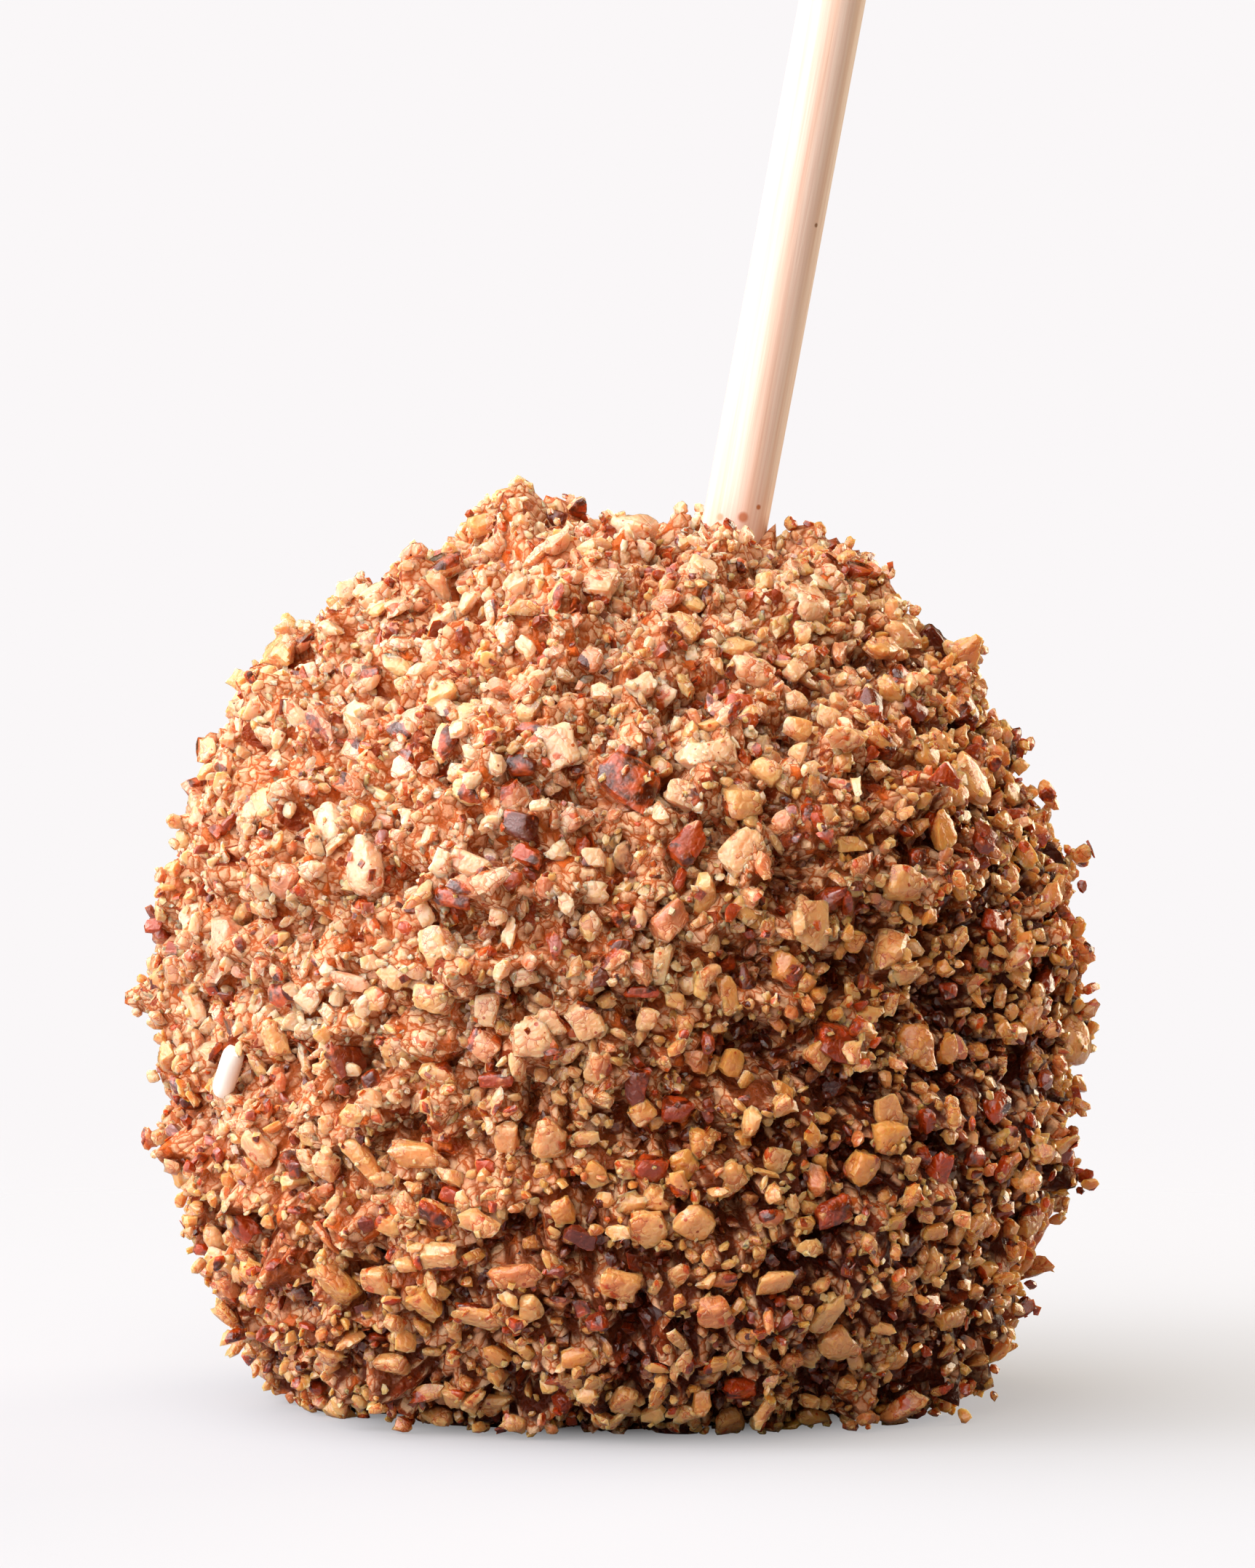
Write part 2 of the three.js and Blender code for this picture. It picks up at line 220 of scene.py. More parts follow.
def cube_grid(cuts):
    """Points of a cube from -1 to 1 with this many quads along each edge, its quads, and where
    they lie on a map. 0 gives a nugget of twelve quads."""
    if cuts == 0:
        return nugget_grid()
    steps = np.arange(cuts + 1)
    u, v = [a.ravel() for a in np.meshgrid(steps, steps, indexing="ij")]
    places, cells = [], []
    starts = np.array([(i, j) for i in range(cuts) for j in range(cuts)])
    faces, maps = [], []
    for side in range(6):
        axis, far = side % 3, side >= 3
        place = np.zeros((len(u), 3), int)
        place[:, axis] = cuts if far else 0
        place[:, (axis + 1) % 3] = u
        place[:, (axis + 2) % 3] = v
        places.append(place)
        corners = starts[:, None] + (QUAD if far else QUAD[::-1])
        faces.append(corners[..., 0] * (cuts + 1) + corners[..., 1] + side * len(u))
        column, row = side % 3, side // 3
        maps.append((corners / cuts * MAP_FILL + MAP_MARGIN + (column, row)) / 3)
    points, index = np.unique(np.vstack(places), axis=0, return_inverse=True)
    faces = index.reshape(-1)[np.vstack(faces)]
    return points / cuts * 2 - 1, faces, np.vstack(maps)


for cuts in (0, 1, 2):
    print("grid of", cuts, "cuts:", [len(part) for part in cube_grid(cuts)[:2]], "points and quads")

# %% Smooth random values anywhere in space
# Odd numbers that scramble a place's whole coordinates into a value that looks random.
SCRAMBLE = np.array([374761393, 668265263, 2147483647])
SEED_STEP, SCRAMBLE_AGAIN = 144665, 1274126177


def lattice_noise(points, seed=0):
    """From -1 to 1, changing smoothly over about one unit."""
    whole = np.floor(points)
    part = points - whole
    part = part * part * (3 - 2 * part)
    whole = whole.astype(np.int64)
    total = np.zeros(points.shape[:-1])
    for corner in (CORNERS > 0).astype(int):
        mixed = (whole + corner) @ SCRAMBLE + seed * SEED_STEP
        mixed = (mixed ^ (mixed >> 13)) * SCRAMBLE_AGAIN
        value = ((mixed ^ (mixed >> 16)) & 0xFFFF) / 32767.5 - 1
        total += value * np.where(corner, part, 1 - part).prod(-1)
    return total


# %% Many bits at once
draws = np.random.default_rng(17)

# The balls of a cluster, for a bit from -1 to 1: radii, and the radius of the one in the middle.
BALL_RADII, CORE_RADIUS = (0.38, 0.62), 0.55


def unit(vectors):
    return vectors / np.linalg.norm(vectors, axis=-1, keepdims=True)


def cleave(shape, count, nearest, farthest):
    """Cuts each bit with random planes, the way a nut breaks."""
    for _ in range(count):
        away = unit(draws.normal(size=(len(shape), 3)))
        limit = draws.uniform(nearest, farthest, len(shape))
        beyond = np.maximum((shape * away[:, None]).sum(2) - limit[:, None], 0)
        shape = shape - beyond[..., None] * away[:, None]
    return shape


def lobes_of(points, count, balls, spread=0.5):
    """How far each bit, a cluster of balls, reaches from its middle in each point's direction."""
    directions = unit(points)
    middles = unit(draws.normal(size=(count, balls, 3)))
    middles = middles * draws.uniform(0.5, 1.0, (count, balls, 1)) * spread
    radii = draws.uniform(*BALL_RADII, (count, balls))
    middles[:, 0], radii[:, 0] = 0, CORE_RADIUS
    along = np.einsum("pi,cbi->cpb", directions, middles)
    inside = (radii**2 - (middles**2).sum(2))[:, None] + along**2
    reach = np.where(inside > 0, along + np.sqrt(np.maximum(inside, 0)), 0).max(2)
    return reach / reach.mean(1, keepdims=True)


def crumble(shape, height, spacing):
    """Raises small lobes with sharp valleys between them."""
    offset = np.arange(len(shape))[:, None, None] * 7.31
    lobes = 2 * np.abs(lattice_noise(shape / spacing + offset, 5)) - 0.6
    return shape * (1 + height * lobes)[..., None]


def knocked_shapes(cuts, knocks, roundness):
    """Cubes with knocked corners and blunt edges: (bit, point, axis), from about -1 to 1."""
    points = cube_grid(cuts)[0]
    blunt = points / (np.abs(points) ** roundness).sum(1, keepdims=True) ** (1 / roundness)
    weights = ((1 + CORNERS[None] * blunt[:, None]) / 2).prod(2)
    return weights @ (CORNERS * (1 - knocks))


def broken_shapes(cuts, count, knock, roundness, balls):
    """Knocked cubes whose sides swell into lobes."""
    shape = knocked_shapes(cuts, draws.random((count, 8, 3)) * knock, roundness)
    if balls:
        shape = shape * lobes_of(cube_grid(cuts)[0], count, balls)[..., None]
    return shape


def placed(shape, sizes, frames, origins):
    """The shapes at their true size and place, in millimetres."""
    return origins[:, None] + (shape * sizes[:, None] / 2) @ frames


# %% One mesh from all the bits of a kind
# No bit goes below this height, in millimetres.
FLOOR = 0.02

# Edges sharper than this stay sharp. A nugget has fewer faces, so its own angle is wider.
SHARP, SHARP_NUGGET = math.radians(38), math.radians(62)


def add_object(name, data):
    thing = bpy.data.objects.new(name, data)
    bpy.context.collection.objects.link(thing)
    return thing


def joined_mesh(name, places, cuts, marks):
    """One object of many bits. places are in millimetres, marks are values for each point."""
    count, each = places.shape[:2]
    _, faces, spots = cube_grid(cuts)
    places = places.reshape(-1, 3).copy()
    places[:, 2] = np.maximum(places[:, 2], FLOOR)
    loops = (faces[None] + each * np.arange(count)[:, None, None]).ravel()
    mesh = bpy.data.meshes.new(name)
    mesh.vertices.add(count * each)
    mesh.vertices.foreach_set("co", (places * MM).ravel())
    mesh.loops.add(len(loops))
    mesh.loops.foreach_set("vertex_index", loops)
    mesh.polygons.add(len(loops) // 4)
    mesh.polygons.foreach_set("loop_start", np.arange(0, len(loops), 4))
    mesh.update(calc_edges=True)
    columns = math.ceil(math.sqrt(count))
    cell = np.stack([np.arange(count) % columns, np.arange(count) // columns], 1)
    spots = (spots[None] + cell[:, None, None]) / columns
    mesh.uv_layers.new(name="OFBake").uv.foreach_set("vector", spots.ravel())
    for mark, values in marks.items():
        values = np.broadcast_to(values, (count, each)).astype(np.float32).ravel()
        mesh.attributes.new(mark, "FLOAT", "POINT").data.foreach_set("value", values)
    mesh.shade_smooth()
    mesh.set_sharp_from_angle(angle=SHARP if cuts else SHARP_NUGGET)
    print(f"{name}: {count} bits, {2 * len(loops) // 4} triangles")
    return add_object(name, mesh)


# %% How deep a place lies in the coat
# Bits lower than this over the coat are in the caramel, and this much lower they are deep in it; the
# materials paint them dark amber, partly the caramel's colour and partly painted shade.
SUNK_FROM, SUNK_OVER = 0.85, 2.2

# Where the most meal has stuck, which is also the side the light falls on, how much lies square to that,
# and how much that side lessens the painted amber shade of deep bits.
MEAL_AND_LIGHT_TOWARDS = unit(np.array([-0.6, -0.35, 0.7]))
MEAL_ASIDE, MEAL_AND_LIGHT_LESS_AMBER = 0.3, 0.6


def meal(directions):
    """1 up on the left, where the most meal has stuck and the light falls, down to 0 on the side away from
    the light. The materials use it to paint less shade on the lit side and more on the other.
    """
    return np.clip(MEAL_ASIDE + directions @ MEAL_AND_LIGHT_TOWARDS, 0, 1)


def coat_marks(places):
    """How deep each point lies in the caramel, from 0 to 1, made less on the lit side, and how much meal
    and light is about it. The depth paints amber shade deep in the crevices.
    """
    away = places.reshape(-1, 3) - CENTRE
    distance = np.linalg.norm(away, axis=1)
    coat = coat_points(away / distance[:, None])
    height = distance - np.linalg.norm(coat - CENTRE, axis=1)
    here = meal(away / distance[:, None])
    deep = np.clip((SUNK_FROM - height) / SUNK_OVER, 0, 1) * (1 - MEAL_AND_LIGHT_LESS_AMBER * here)
    return {"sunk": deep.reshape(places.shape[:-1]), "meal": here.reshape(places.shape[:-1])}


# %% Part of the object, in place of a solid
def dress(piece, material, node):
    """Gives a piece its material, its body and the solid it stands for."""
    piece.data.materials.append(material)
    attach(piece, "root")
    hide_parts(node)


# %% [markdown]
# ## Finishes
#
# Nut flesh is pale and lets light in, with red-brown specks and, on one side, the thin glossy
# skin. Parts of it carry a crust of fine crumbs, with painted shade in the creases between them.
# Syrup makes all of it shine. The side turned away from the light is tinted darker and more
# golden, which is painted shade, and a bit goes dark amber the deeper it sits in the caramel,
# partly the caramel's own colour and partly painted shade in the crevices. An image could carry
# all that, but a node material works at any distance: each bit's mesh holds its tone, which side
# has skin, how deep it lies and how much meal and light is about it, and noise and Voronoi cells
# in space do the rest. Light spreads inside by random walk, the slower way, but the one that
# makes thin edges glow. The syrup is the shader's own clear coat.

# %% Helpers for node materials
def colour(red, green, blue):
    """Linear colour from the 0 to 255 values that a screen shows."""
    values = np.array([red, green, blue]) / 255
    linear = np.where(values <= 0.04045, values / 12.92, ((values + 0.055) / 1.055) ** 2.4)
    return (*linear.tolist(), 1.0)


def connect(tree, node, inputs):
    """Sets a node's inputs. Each is a value, or a socket that it is linked to."""
    for key, value in inputs.items():
        if isinstance(value, bpy.types.NodeSocket):
            tree.links.new(value, node.inputs[key])
        else:
            node.inputs[key].default_value = value


def add_node(tree, kind, settings, inputs):
    node = tree.nodes.new(kind)
    for key, value in settings.items():
        setattr(node, key, value)
    connect(tree, node, inputs)
    return node


def mix_colours(tree, factor, first, second, way="MIX"):
    inputs = {0: factor, 6: first, 7: second}
    return add_node(tree, "ShaderNodeMix", {"data_type": "RGBA", "blend_type": way}, inputs).outputs[2]


def map_range(tree, value, low, high, to_low, to_high, way="LINEAR"):
    """Takes low to to_low and high to to_high."""
    limits = {"From Min": low, "From Max": high, "To Min": to_low, "To Max": to_high}
    inputs = {"Value": value, **limits}
    return add_node(tree, "ShaderNodeMapRange", {"interpolation_type": way}, inputs).outputs[0]


def ramp(tree, value, low, high, most=1.0):
    """0 up to low, most from high, smooth between them."""
    return map_range(tree, value, low, high, 0.0, most, "SMOOTHSTEP")


def sum_of(tree, first, second, factor=1.0):
    """first + second * factor."""
    inputs = {0: second, 1: factor, 2: first}
    return add_node(tree, "ShaderNodeMath", {"operation": "MULTIPLY_ADD"}, inputs).outputs[0]


def product_of(tree, first, second):
    return add_node(tree, "ShaderNodeMath", {"operation": "MULTIPLY"}, {0: first, 1: second}).outputs[0]


def on_vectors(tree, operation, inputs, output=0):
    return add_node(tree, "ShaderNodeVectorMath", {"operation": operation}, inputs).outputs[output]


def mark(tree, name, output="Fac"):
    return add_node(tree, "ShaderNodeAttribute", {"attribute_name": name}, {}).outputs[output]


def noise_of(tree, places, scale, detail, output="Fac"):
    inputs = {"Vector": places, "Scale": scale, "Detail": detail}
    return add_node(tree, "ShaderNodeTexNoise", {}, inputs).outputs[output]


def space_noise(tree, places, size, detail=2.0, output="Fac"):
    """Noise whose patches are about size millimetres wide."""
    return noise_of(tree, places, 1 / (size * MM), detail, output)


def bumps(tree, height, strength, tallest):
    """Directions for a relief whose height 1 stands for tallest, in millimetres."""
    inputs = {"Strength": strength, "Distance": tallest * MM, "Height": height}
    return add_node(tree, "ShaderNodeBump", {}, inputs).outputs[0]


def start_material(name):
    material = bpy.data.materials.new(name)
    material.use_nodes = True
    tree = material.node_tree
    places = add_node(tree, "ShaderNodeTexCoord", {}, {}).outputs["Object"]
    return material, tree, tree.nodes["Principled BSDF"], places


# %% Nut flesh, with its specks, its skin and the caramel it sits in
SKIN_LIGHT, SKIN_DARK = colour(194, 80, 24), colour(88, 26, 8)
SPECK_LIGHT, SPECK_DARK = colour(214, 100, 36), colour(140, 50, 16)
BLUSH = colour(230, 168, 130)
FROST = colour(234, 188, 156)
# The amber below is partly the caramel's own colour and partly painted shade deep in the crevices.
AMBER_SHADE = colour(98, 33, 6)
# The crease colour below is painted shade in the creases between crumbs and grains.
CREASE_SHADE = colour(184, 88, 34)
# The tint below is painted shade: it makes the side away from the light darker and more golden.
SHADE_SIDE_TINT = colour(250, 222, 170)
LIGHT_REACH = (1.0, 0.62, 0.36)

# Sizes in millimetres, and the roughness of skin.
SPECK_SIZE, CRUST_CRUMB, CRUMB_WOBBLE = 1.15, 0.95, 0.5
RAGGED_SIZE, CRUST_SIZE, STREAK_SIZE = 0.5, 2.2, 1.4
NUT_RELIEF = 0.22
SKIN_ROUGHNESS = 0.26


def specks_of(tree, places):
    """Small spots, some pale and some dark, in about half of the cells of a Voronoi pattern."""
    inputs = {"Vector": places, "Scale": 1 / (SPECK_SIZE * MM)}
    cells = add_node(tree, "ShaderNodeTexVoronoi", {}, inputs)
    parts = add_node(tree, "ShaderNodeSeparateColor", {}, {0: cells.outputs["Color"]})
    wide = map_range(tree, parts.outputs[0], 0.0, 1.0, -0.06, 0.19)
    gap = sum_of(tree, wide, cells.outputs["Distance"], -1.0)
    spot = ramp(tree, gap, -0.02, 0.03)
    return spot, mix_colours(tree, parts.outputs[1], SPECK_DARK, SPECK_LIGHT)


def crumbs_of(tree, places, size):
    """A crust of fine crumbs: random values for each crumb, and how far a place is from a crease."""
    wobble = space_noise(tree, places, CRUMB_WOBBLE, 1.0, "Color")
    moved = on_vectors(tree, "MULTIPLY_ADD", {0: wobble, 1: (CRUMB_WOBBLE * MM,) * 3, 2: places})
    inputs = {"Vector": moved, "Scale": 1 / (size * MM)}
    cells = add_node(tree, "ShaderNodeTexVoronoi", {}, inputs)
    edges = add_node(tree, "ShaderNodeTexVoronoi", {"feature": "DISTANCE_TO_EDGE"}, inputs)
    parts = add_node(tree, "ShaderNodeSeparateColor", {}, {0: cells.outputs["Color"]})
    return parts.outputs, edges.outputs["Distance"]


def nut_material(name, pale, deep, bare, reach, rough=(0.22, 0.42)):
    """pale and deep are the shades at tone 0 and 1. bare is how much of it is clear of fine crumbs.
    reach is how far light spreads inside, in millimetres."""
    material, tree, shader, places = start_material(name)
    flesh = mix_colours(tree, mark(tree, "tone"), pale, deep)
    spot, spot_shade = specks_of(tree, places)
    flesh = mix_colours(tree, spot, flesh, spot_shade)

    # The crust: each crumb pale or blushed, a few frosted or red-brown, with painted shade in the creases
    # between crumbs.
    chance, edge = crumbs_of(tree, places, CRUST_CRUMB)
    crumb = mix_colours(tree, ramp(tree, chance[0], 0.2, 0.9), pale, BLUSH)
    crumb = mix_colours(tree, ramp(tree, chance[1], 0.70, 0.78), crumb, FROST)
    crumb = mix_colours(tree, ramp(tree, chance[2], 0.92, 0.94), crumb, SPECK_LIGHT)
    crumb = mix_colours(tree, ramp(tree, edge, 0.06, 0.0), crumb, CREASE_SHADE)
    crusty = ramp(tree, space_noise(tree, places, CRUST_SIZE), bare, bare + 0.06)
    flesh = mix_colours(tree, crusty, flesh, crumb)

    # The skin, with a ragged edge and streaks.
    ragged = space_noise(tree, places, RAGGED_SIZE, 3.0)
    skin = ramp(tree, sum_of(tree, mark(tree, "skin"), ragged, 0.5), 0.70, 0.78)
    streak = ramp(tree, space_noise(tree, places, STREAK_SIZE, 3.0), 0.38, 0.64)
    shade = mix_colours(tree, skin, flesh, mix_colours(tree, streak, SKIN_DARK, SKIN_LIGHT))

    # Dark amber where it sits deep in the caramel, partly the caramel's own colour and partly painted shade
    # in the crevices, and a darker golden tint, painted shade, on the side away from the light.
    sunk_shade = sum_of(tree, mark(tree, "sunk"), ragged, 0.5)
    shade = mix_colours(tree, ramp(tree, sunk_shade, 0.50, 1.05), shade, AMBER_SHADE)
    shade = mix_colours(tree, ramp(tree, mark(tree, "meal"), 1.0, 0.25), shade, SHADE_SIDE_TINT, "MULTIPLY")

    wear = map_range(tree, ragged, 0.0, 1.0, *rough)
    roughness = add_node(tree, "ShaderNodeMix", {}, {0: skin, 2: wear, 3: SKIN_ROUGHNESS}).outputs[0]
    lumpy = map_range(tree, crusty, 0.0, 1.0, 0.35, 1.0)
    domes = product_of(tree, ramp(tree, edge, 0.0, 0.30), lumpy)
    height = sum_of(tree, domes, space_noise(tree, places, RAGGED_SIZE), 0.5)
    shader.subsurface_method = "RANDOM_WALK"
    connect(tree, shader, {
        "Base Color": shade,
        "Roughness": roughness,
        "Specular IOR Level": 0.50,
        "Normal": bumps(tree, height, 1.0, NUT_RELIEF),
        "Subsurface Weight": 1.0,
        "Subsurface Radius": LIGHT_REACH,
        "Subsurface Scale": reach * MM,
        "Coat Weight": 0.8,
        "Coat Roughness": 0.08,
    })
    return material


FINISHES = {
    "pale": nut_material("pale nut flesh", colour(232, 190, 156), colour(230, 178, 138), 0.50, 2.0),
    "peach": nut_material("peach nut flesh", colour(235, 189, 154), colour(229, 171, 131), 0.46, 1.8),
    "gold": nut_material("golden nut flesh", colour(232, 184, 128), colour(222, 158, 100), 0.50, 1.8),
    "rosy": nut_material("rosy nut flesh", colour(226, 160, 124), colour(198, 120, 82), 0.44, 1.4),
    "skin": nut_material("nut skin", colour(190, 74, 18), colour(98, 28, 8), 0.64, 0.8, (0.24, 0.38)),
}
print("finishes so far:", list(FINISHES))

# %% [markdown]
# ## The bed of caramel and meal
#
# Between the bits the eye meets dark caramel full of fine meal. It could be a plain dark
# ball, but then every gap would be a smooth hole. So the bed is a fine mesh on the coat's
# form, sunk under the bits, with a dome for every grain that is buried in it. The domes come
# from Voronoi cells, whose edges are the creases between grains. The creases are coloured dark,
# partly the caramel's own colour and partly painted shade, the more so on the side away from the
# light. The nuts stick in clumps with cracks between them, so waves raise and part the bed, and
# the bits laid on it later follow.

# %% Clumps, cracks and hollows
CLUMPS = make_waves(seed=41, count=24, shortest=4.5, longest=9.0)
CLUMP_RISE, CLUMP_HEIGHT = 0.4, 0.33
CRACKS = make_waves(seed=43, count=16, shortest=9.0, longest=14.0)
CRACK_WIDTH, CRACK_DEPTH = 1.05, 2.6

# Gaps where no nut has stuck, as x and z from the front, with reach and depth.
HOLLOWS = [
    (-9, 19, 2.6, 1.6), (-1, 19.6, 2.2, 1.6), (-5, 19.6, 1.8, 1.4), (-16, 13.5, 2.4, 1.2),
    (1.5, 13, 2.6, 1.4), (-24.5, 9, 2.2, 1.2), (-30, 48, 2.4, 1.2), (-2.4, 59.4, 1.8, 1.4),
    (14.6, 59.6, 2.0, 1.4), (31, 49.5, 2.2, 1.2), (-31, 34, 2.4, 1.2), (12, 39, 2.4, 1.2),
    (20, 33, 2.6, 1.2),
]
HOLLOW_DEPTH = 1.5
HOLLOW_PLACES = coat_points(np.array([direction_at(x, z) for x, z, _, _ in HOLLOWS]))
HOLLOW_SIZES = np.array([(reach, depth) for _, _, reach, depth in HOLLOWS])


def clumps(points):
    """How far the nuts stand out in clumps, or lie back between them."""
    away = np.linalg.norm(points[:, None] - HOLLOW_PLACES, axis=2) / HOLLOW_SIZES[:, 0]
    crack = CRACK_DEPTH * (1 - np.minimum(np.abs(relief(points, CRACKS)) / CRACK_WIDTH, 1))
    hollow = HOLLOW_DEPTH * (HOLLOW_SIZES[:, 1] * np.exp(-away * away)).sum(1)
    return CLUMP_RISE + CLUMP_HEIGHT * relief(points, CLUMPS) - crack - hollow


samples = clumps(coat_points(unit(CORNERS)))
print("clumps lift the coat's corners by", samples.round(1), "mm")

# %% Make the bed
BED_CUTS = 72
BED_DEPTH, MEAL_RISE = 1.9, 0.7
GRAIN_SIZE, GRAIN_HEIGHT, GRAIN_TILT = 1.9, 1.35, 0.55

# How much grains differ in height, how wide a crease is, and how steeply a dome starts.
GRAIN_UNEVEN, CREASE_WIDTH, DOME_POWER = 0.4, 0.45, 0.7


def grain_cells(points):
    """For each point its grain's middle, and how far it is from the crease around that grain."""
    found = [noise.voronoi(Vector(p)) for p in points / GRAIN_SIZE]
    middles = np.array([places[0] for _, places in found])
    near, next_near = np.array([distances[:2] for distances, _ in found]).T
    return middles, np.clip((next_near - near) / CREASE_WIDTH, 0, 1)


def make_bed():
    directions = unit(np.tan(cube_grid(BED_CUTS)[0] * math.pi / 4))
    coat = coat_points(directions)
    middles, crease = grain_cells(coat)
    own = np.stack([lattice_noise(middles * 9.7, seed) for seed in range(5)], 1)
    tilt = (own[:, :3] * (coat / GRAIN_SIZE - middles)).sum(1) * GRAIN_TILT * GRAIN_SIZE
    grain = (GRAIN_HEIGHT + GRAIN_UNEVEN * own[:, 3] + tilt) * crease**DOME_POWER
    lift = clumps(coat) - BED_DEPTH + MEAL_RISE * meal(directions) + grain
    places = coat + directions * lift[:, None]
    marks = {"crease": crease, "tone": own[:, 4] * 0.8 + 0.5, "skin": (own[:, 3] > 0.45) * 1.0}
    marks["meal"] = meal(directions)
    return joined_mesh("meal_bed", places[None], BED_CUTS, marks)


# %% The look of caramel and meal
BED_PALE, BED_DEEP, BED_PATCH = colour(238, 184, 144), colour(218, 150, 110), colour(206, 130, 90)
# The last colour on the next line is the dark of the bed's creases: partly the caramel's own colour, partly
# painted shade.
BED_CRUMB, BED_SKIN, CARAMEL_SHADE = colour(240, 190, 148), colour(140, 52, 16), colour(72, 20, 3)
PATCH_SIZE, BED_CRUMB_SIZE, BED_FINE_SIZE = 1.2, 1.2, 0.4
BED_RELIEF, BED_REACH = 0.5, 1.0


def bed_material():
    material, tree, shader, places = start_material("caramel and meal")
    grain = mix_colours(tree, mark(tree, "tone"), BED_PALE, BED_DEEP)
    patches = space_noise(tree, places, PATCH_SIZE, 3.0)
    grain = mix_colours(tree, ramp(tree, patches, 0.50, 0.75), grain, BED_PATCH)
    chance, edge = crumbs_of(tree, places, BED_CRUMB_SIZE)
    crumb = mix_colours(tree, ramp(tree, chance[0], 0.2, 0.9), BED_CRUMB, BLUSH)
    crumb = mix_colours(tree, ramp(tree, chance[2], 0.90, 0.93), crumb, SPECK_LIGHT)
    grain = mix_colours(tree, ramp(tree, chance[1], 0.3, 0.4), grain, crumb)
    # Painted shade in the creases between crumbs.
    grain = mix_colours(tree, ramp(tree, edge, 0.12, 0.02), grain, CREASE_SHADE)
    ragged = space_noise(tree, places, RAGGED_SIZE, 3.0)
    skin = ramp(tree, sum_of(tree, mark(tree, "skin"), ragged, 0.8), 1.15, 1.35)
    grain = mix_colours(tree, skin, grain, BED_SKIN)

    # In the creases the caramel shows, partly its own colour and partly painted shade: darker, and more of
    # it, on the side away from the light, where there is also little meal.
    low = sum_of(tree, mark(tree, "crease"), ragged, 0.35)
    dark = mix_colours(tree, mark(tree, "meal"), CARAMEL_SHADE, CREASE_SHADE)
    filled = map_range(tree, mark(tree, "meal"), 0.0, 1.0, 0.95, 0.6)
    shade = mix_colours(tree, ramp(tree, sum_of(tree, low, filled, -1.0), 0.0, -0.45), grain, dark)
    height = sum_of(tree, ramp(tree, edge, 0.0, 0.30), space_noise(tree, places, BED_FINE_SIZE, 3.0), 0.5)
    shader.subsurface_method = "BURLEY"
    connect(tree, shader, {
        "Base Color": shade,
        "Roughness": 0.5,
        "Specular IOR Level": 0.25,
        "Normal": bumps(tree, height, 1.0, BED_RELIEF),
        "Subsurface Weight": 1.0,
        "Subsurface Radius": LIGHT_REACH,
        "Subsurface Scale": BED_REACH * MM,
    })
    return material


bed = make_bed()
dress(bed, bed_material(), "coated_apple")

# %% [markdown]
# ## The larger pieces
#
# These are the pieces that someone would pick out by eye. They sit where the solid has them,
# with the same knocked corners, so that the dressed apple and the solid agree. The first
# ones are listed one by one; a spiral that turns by the golden angle spreads the others evenly
# over the apple, and chance moves each a little.

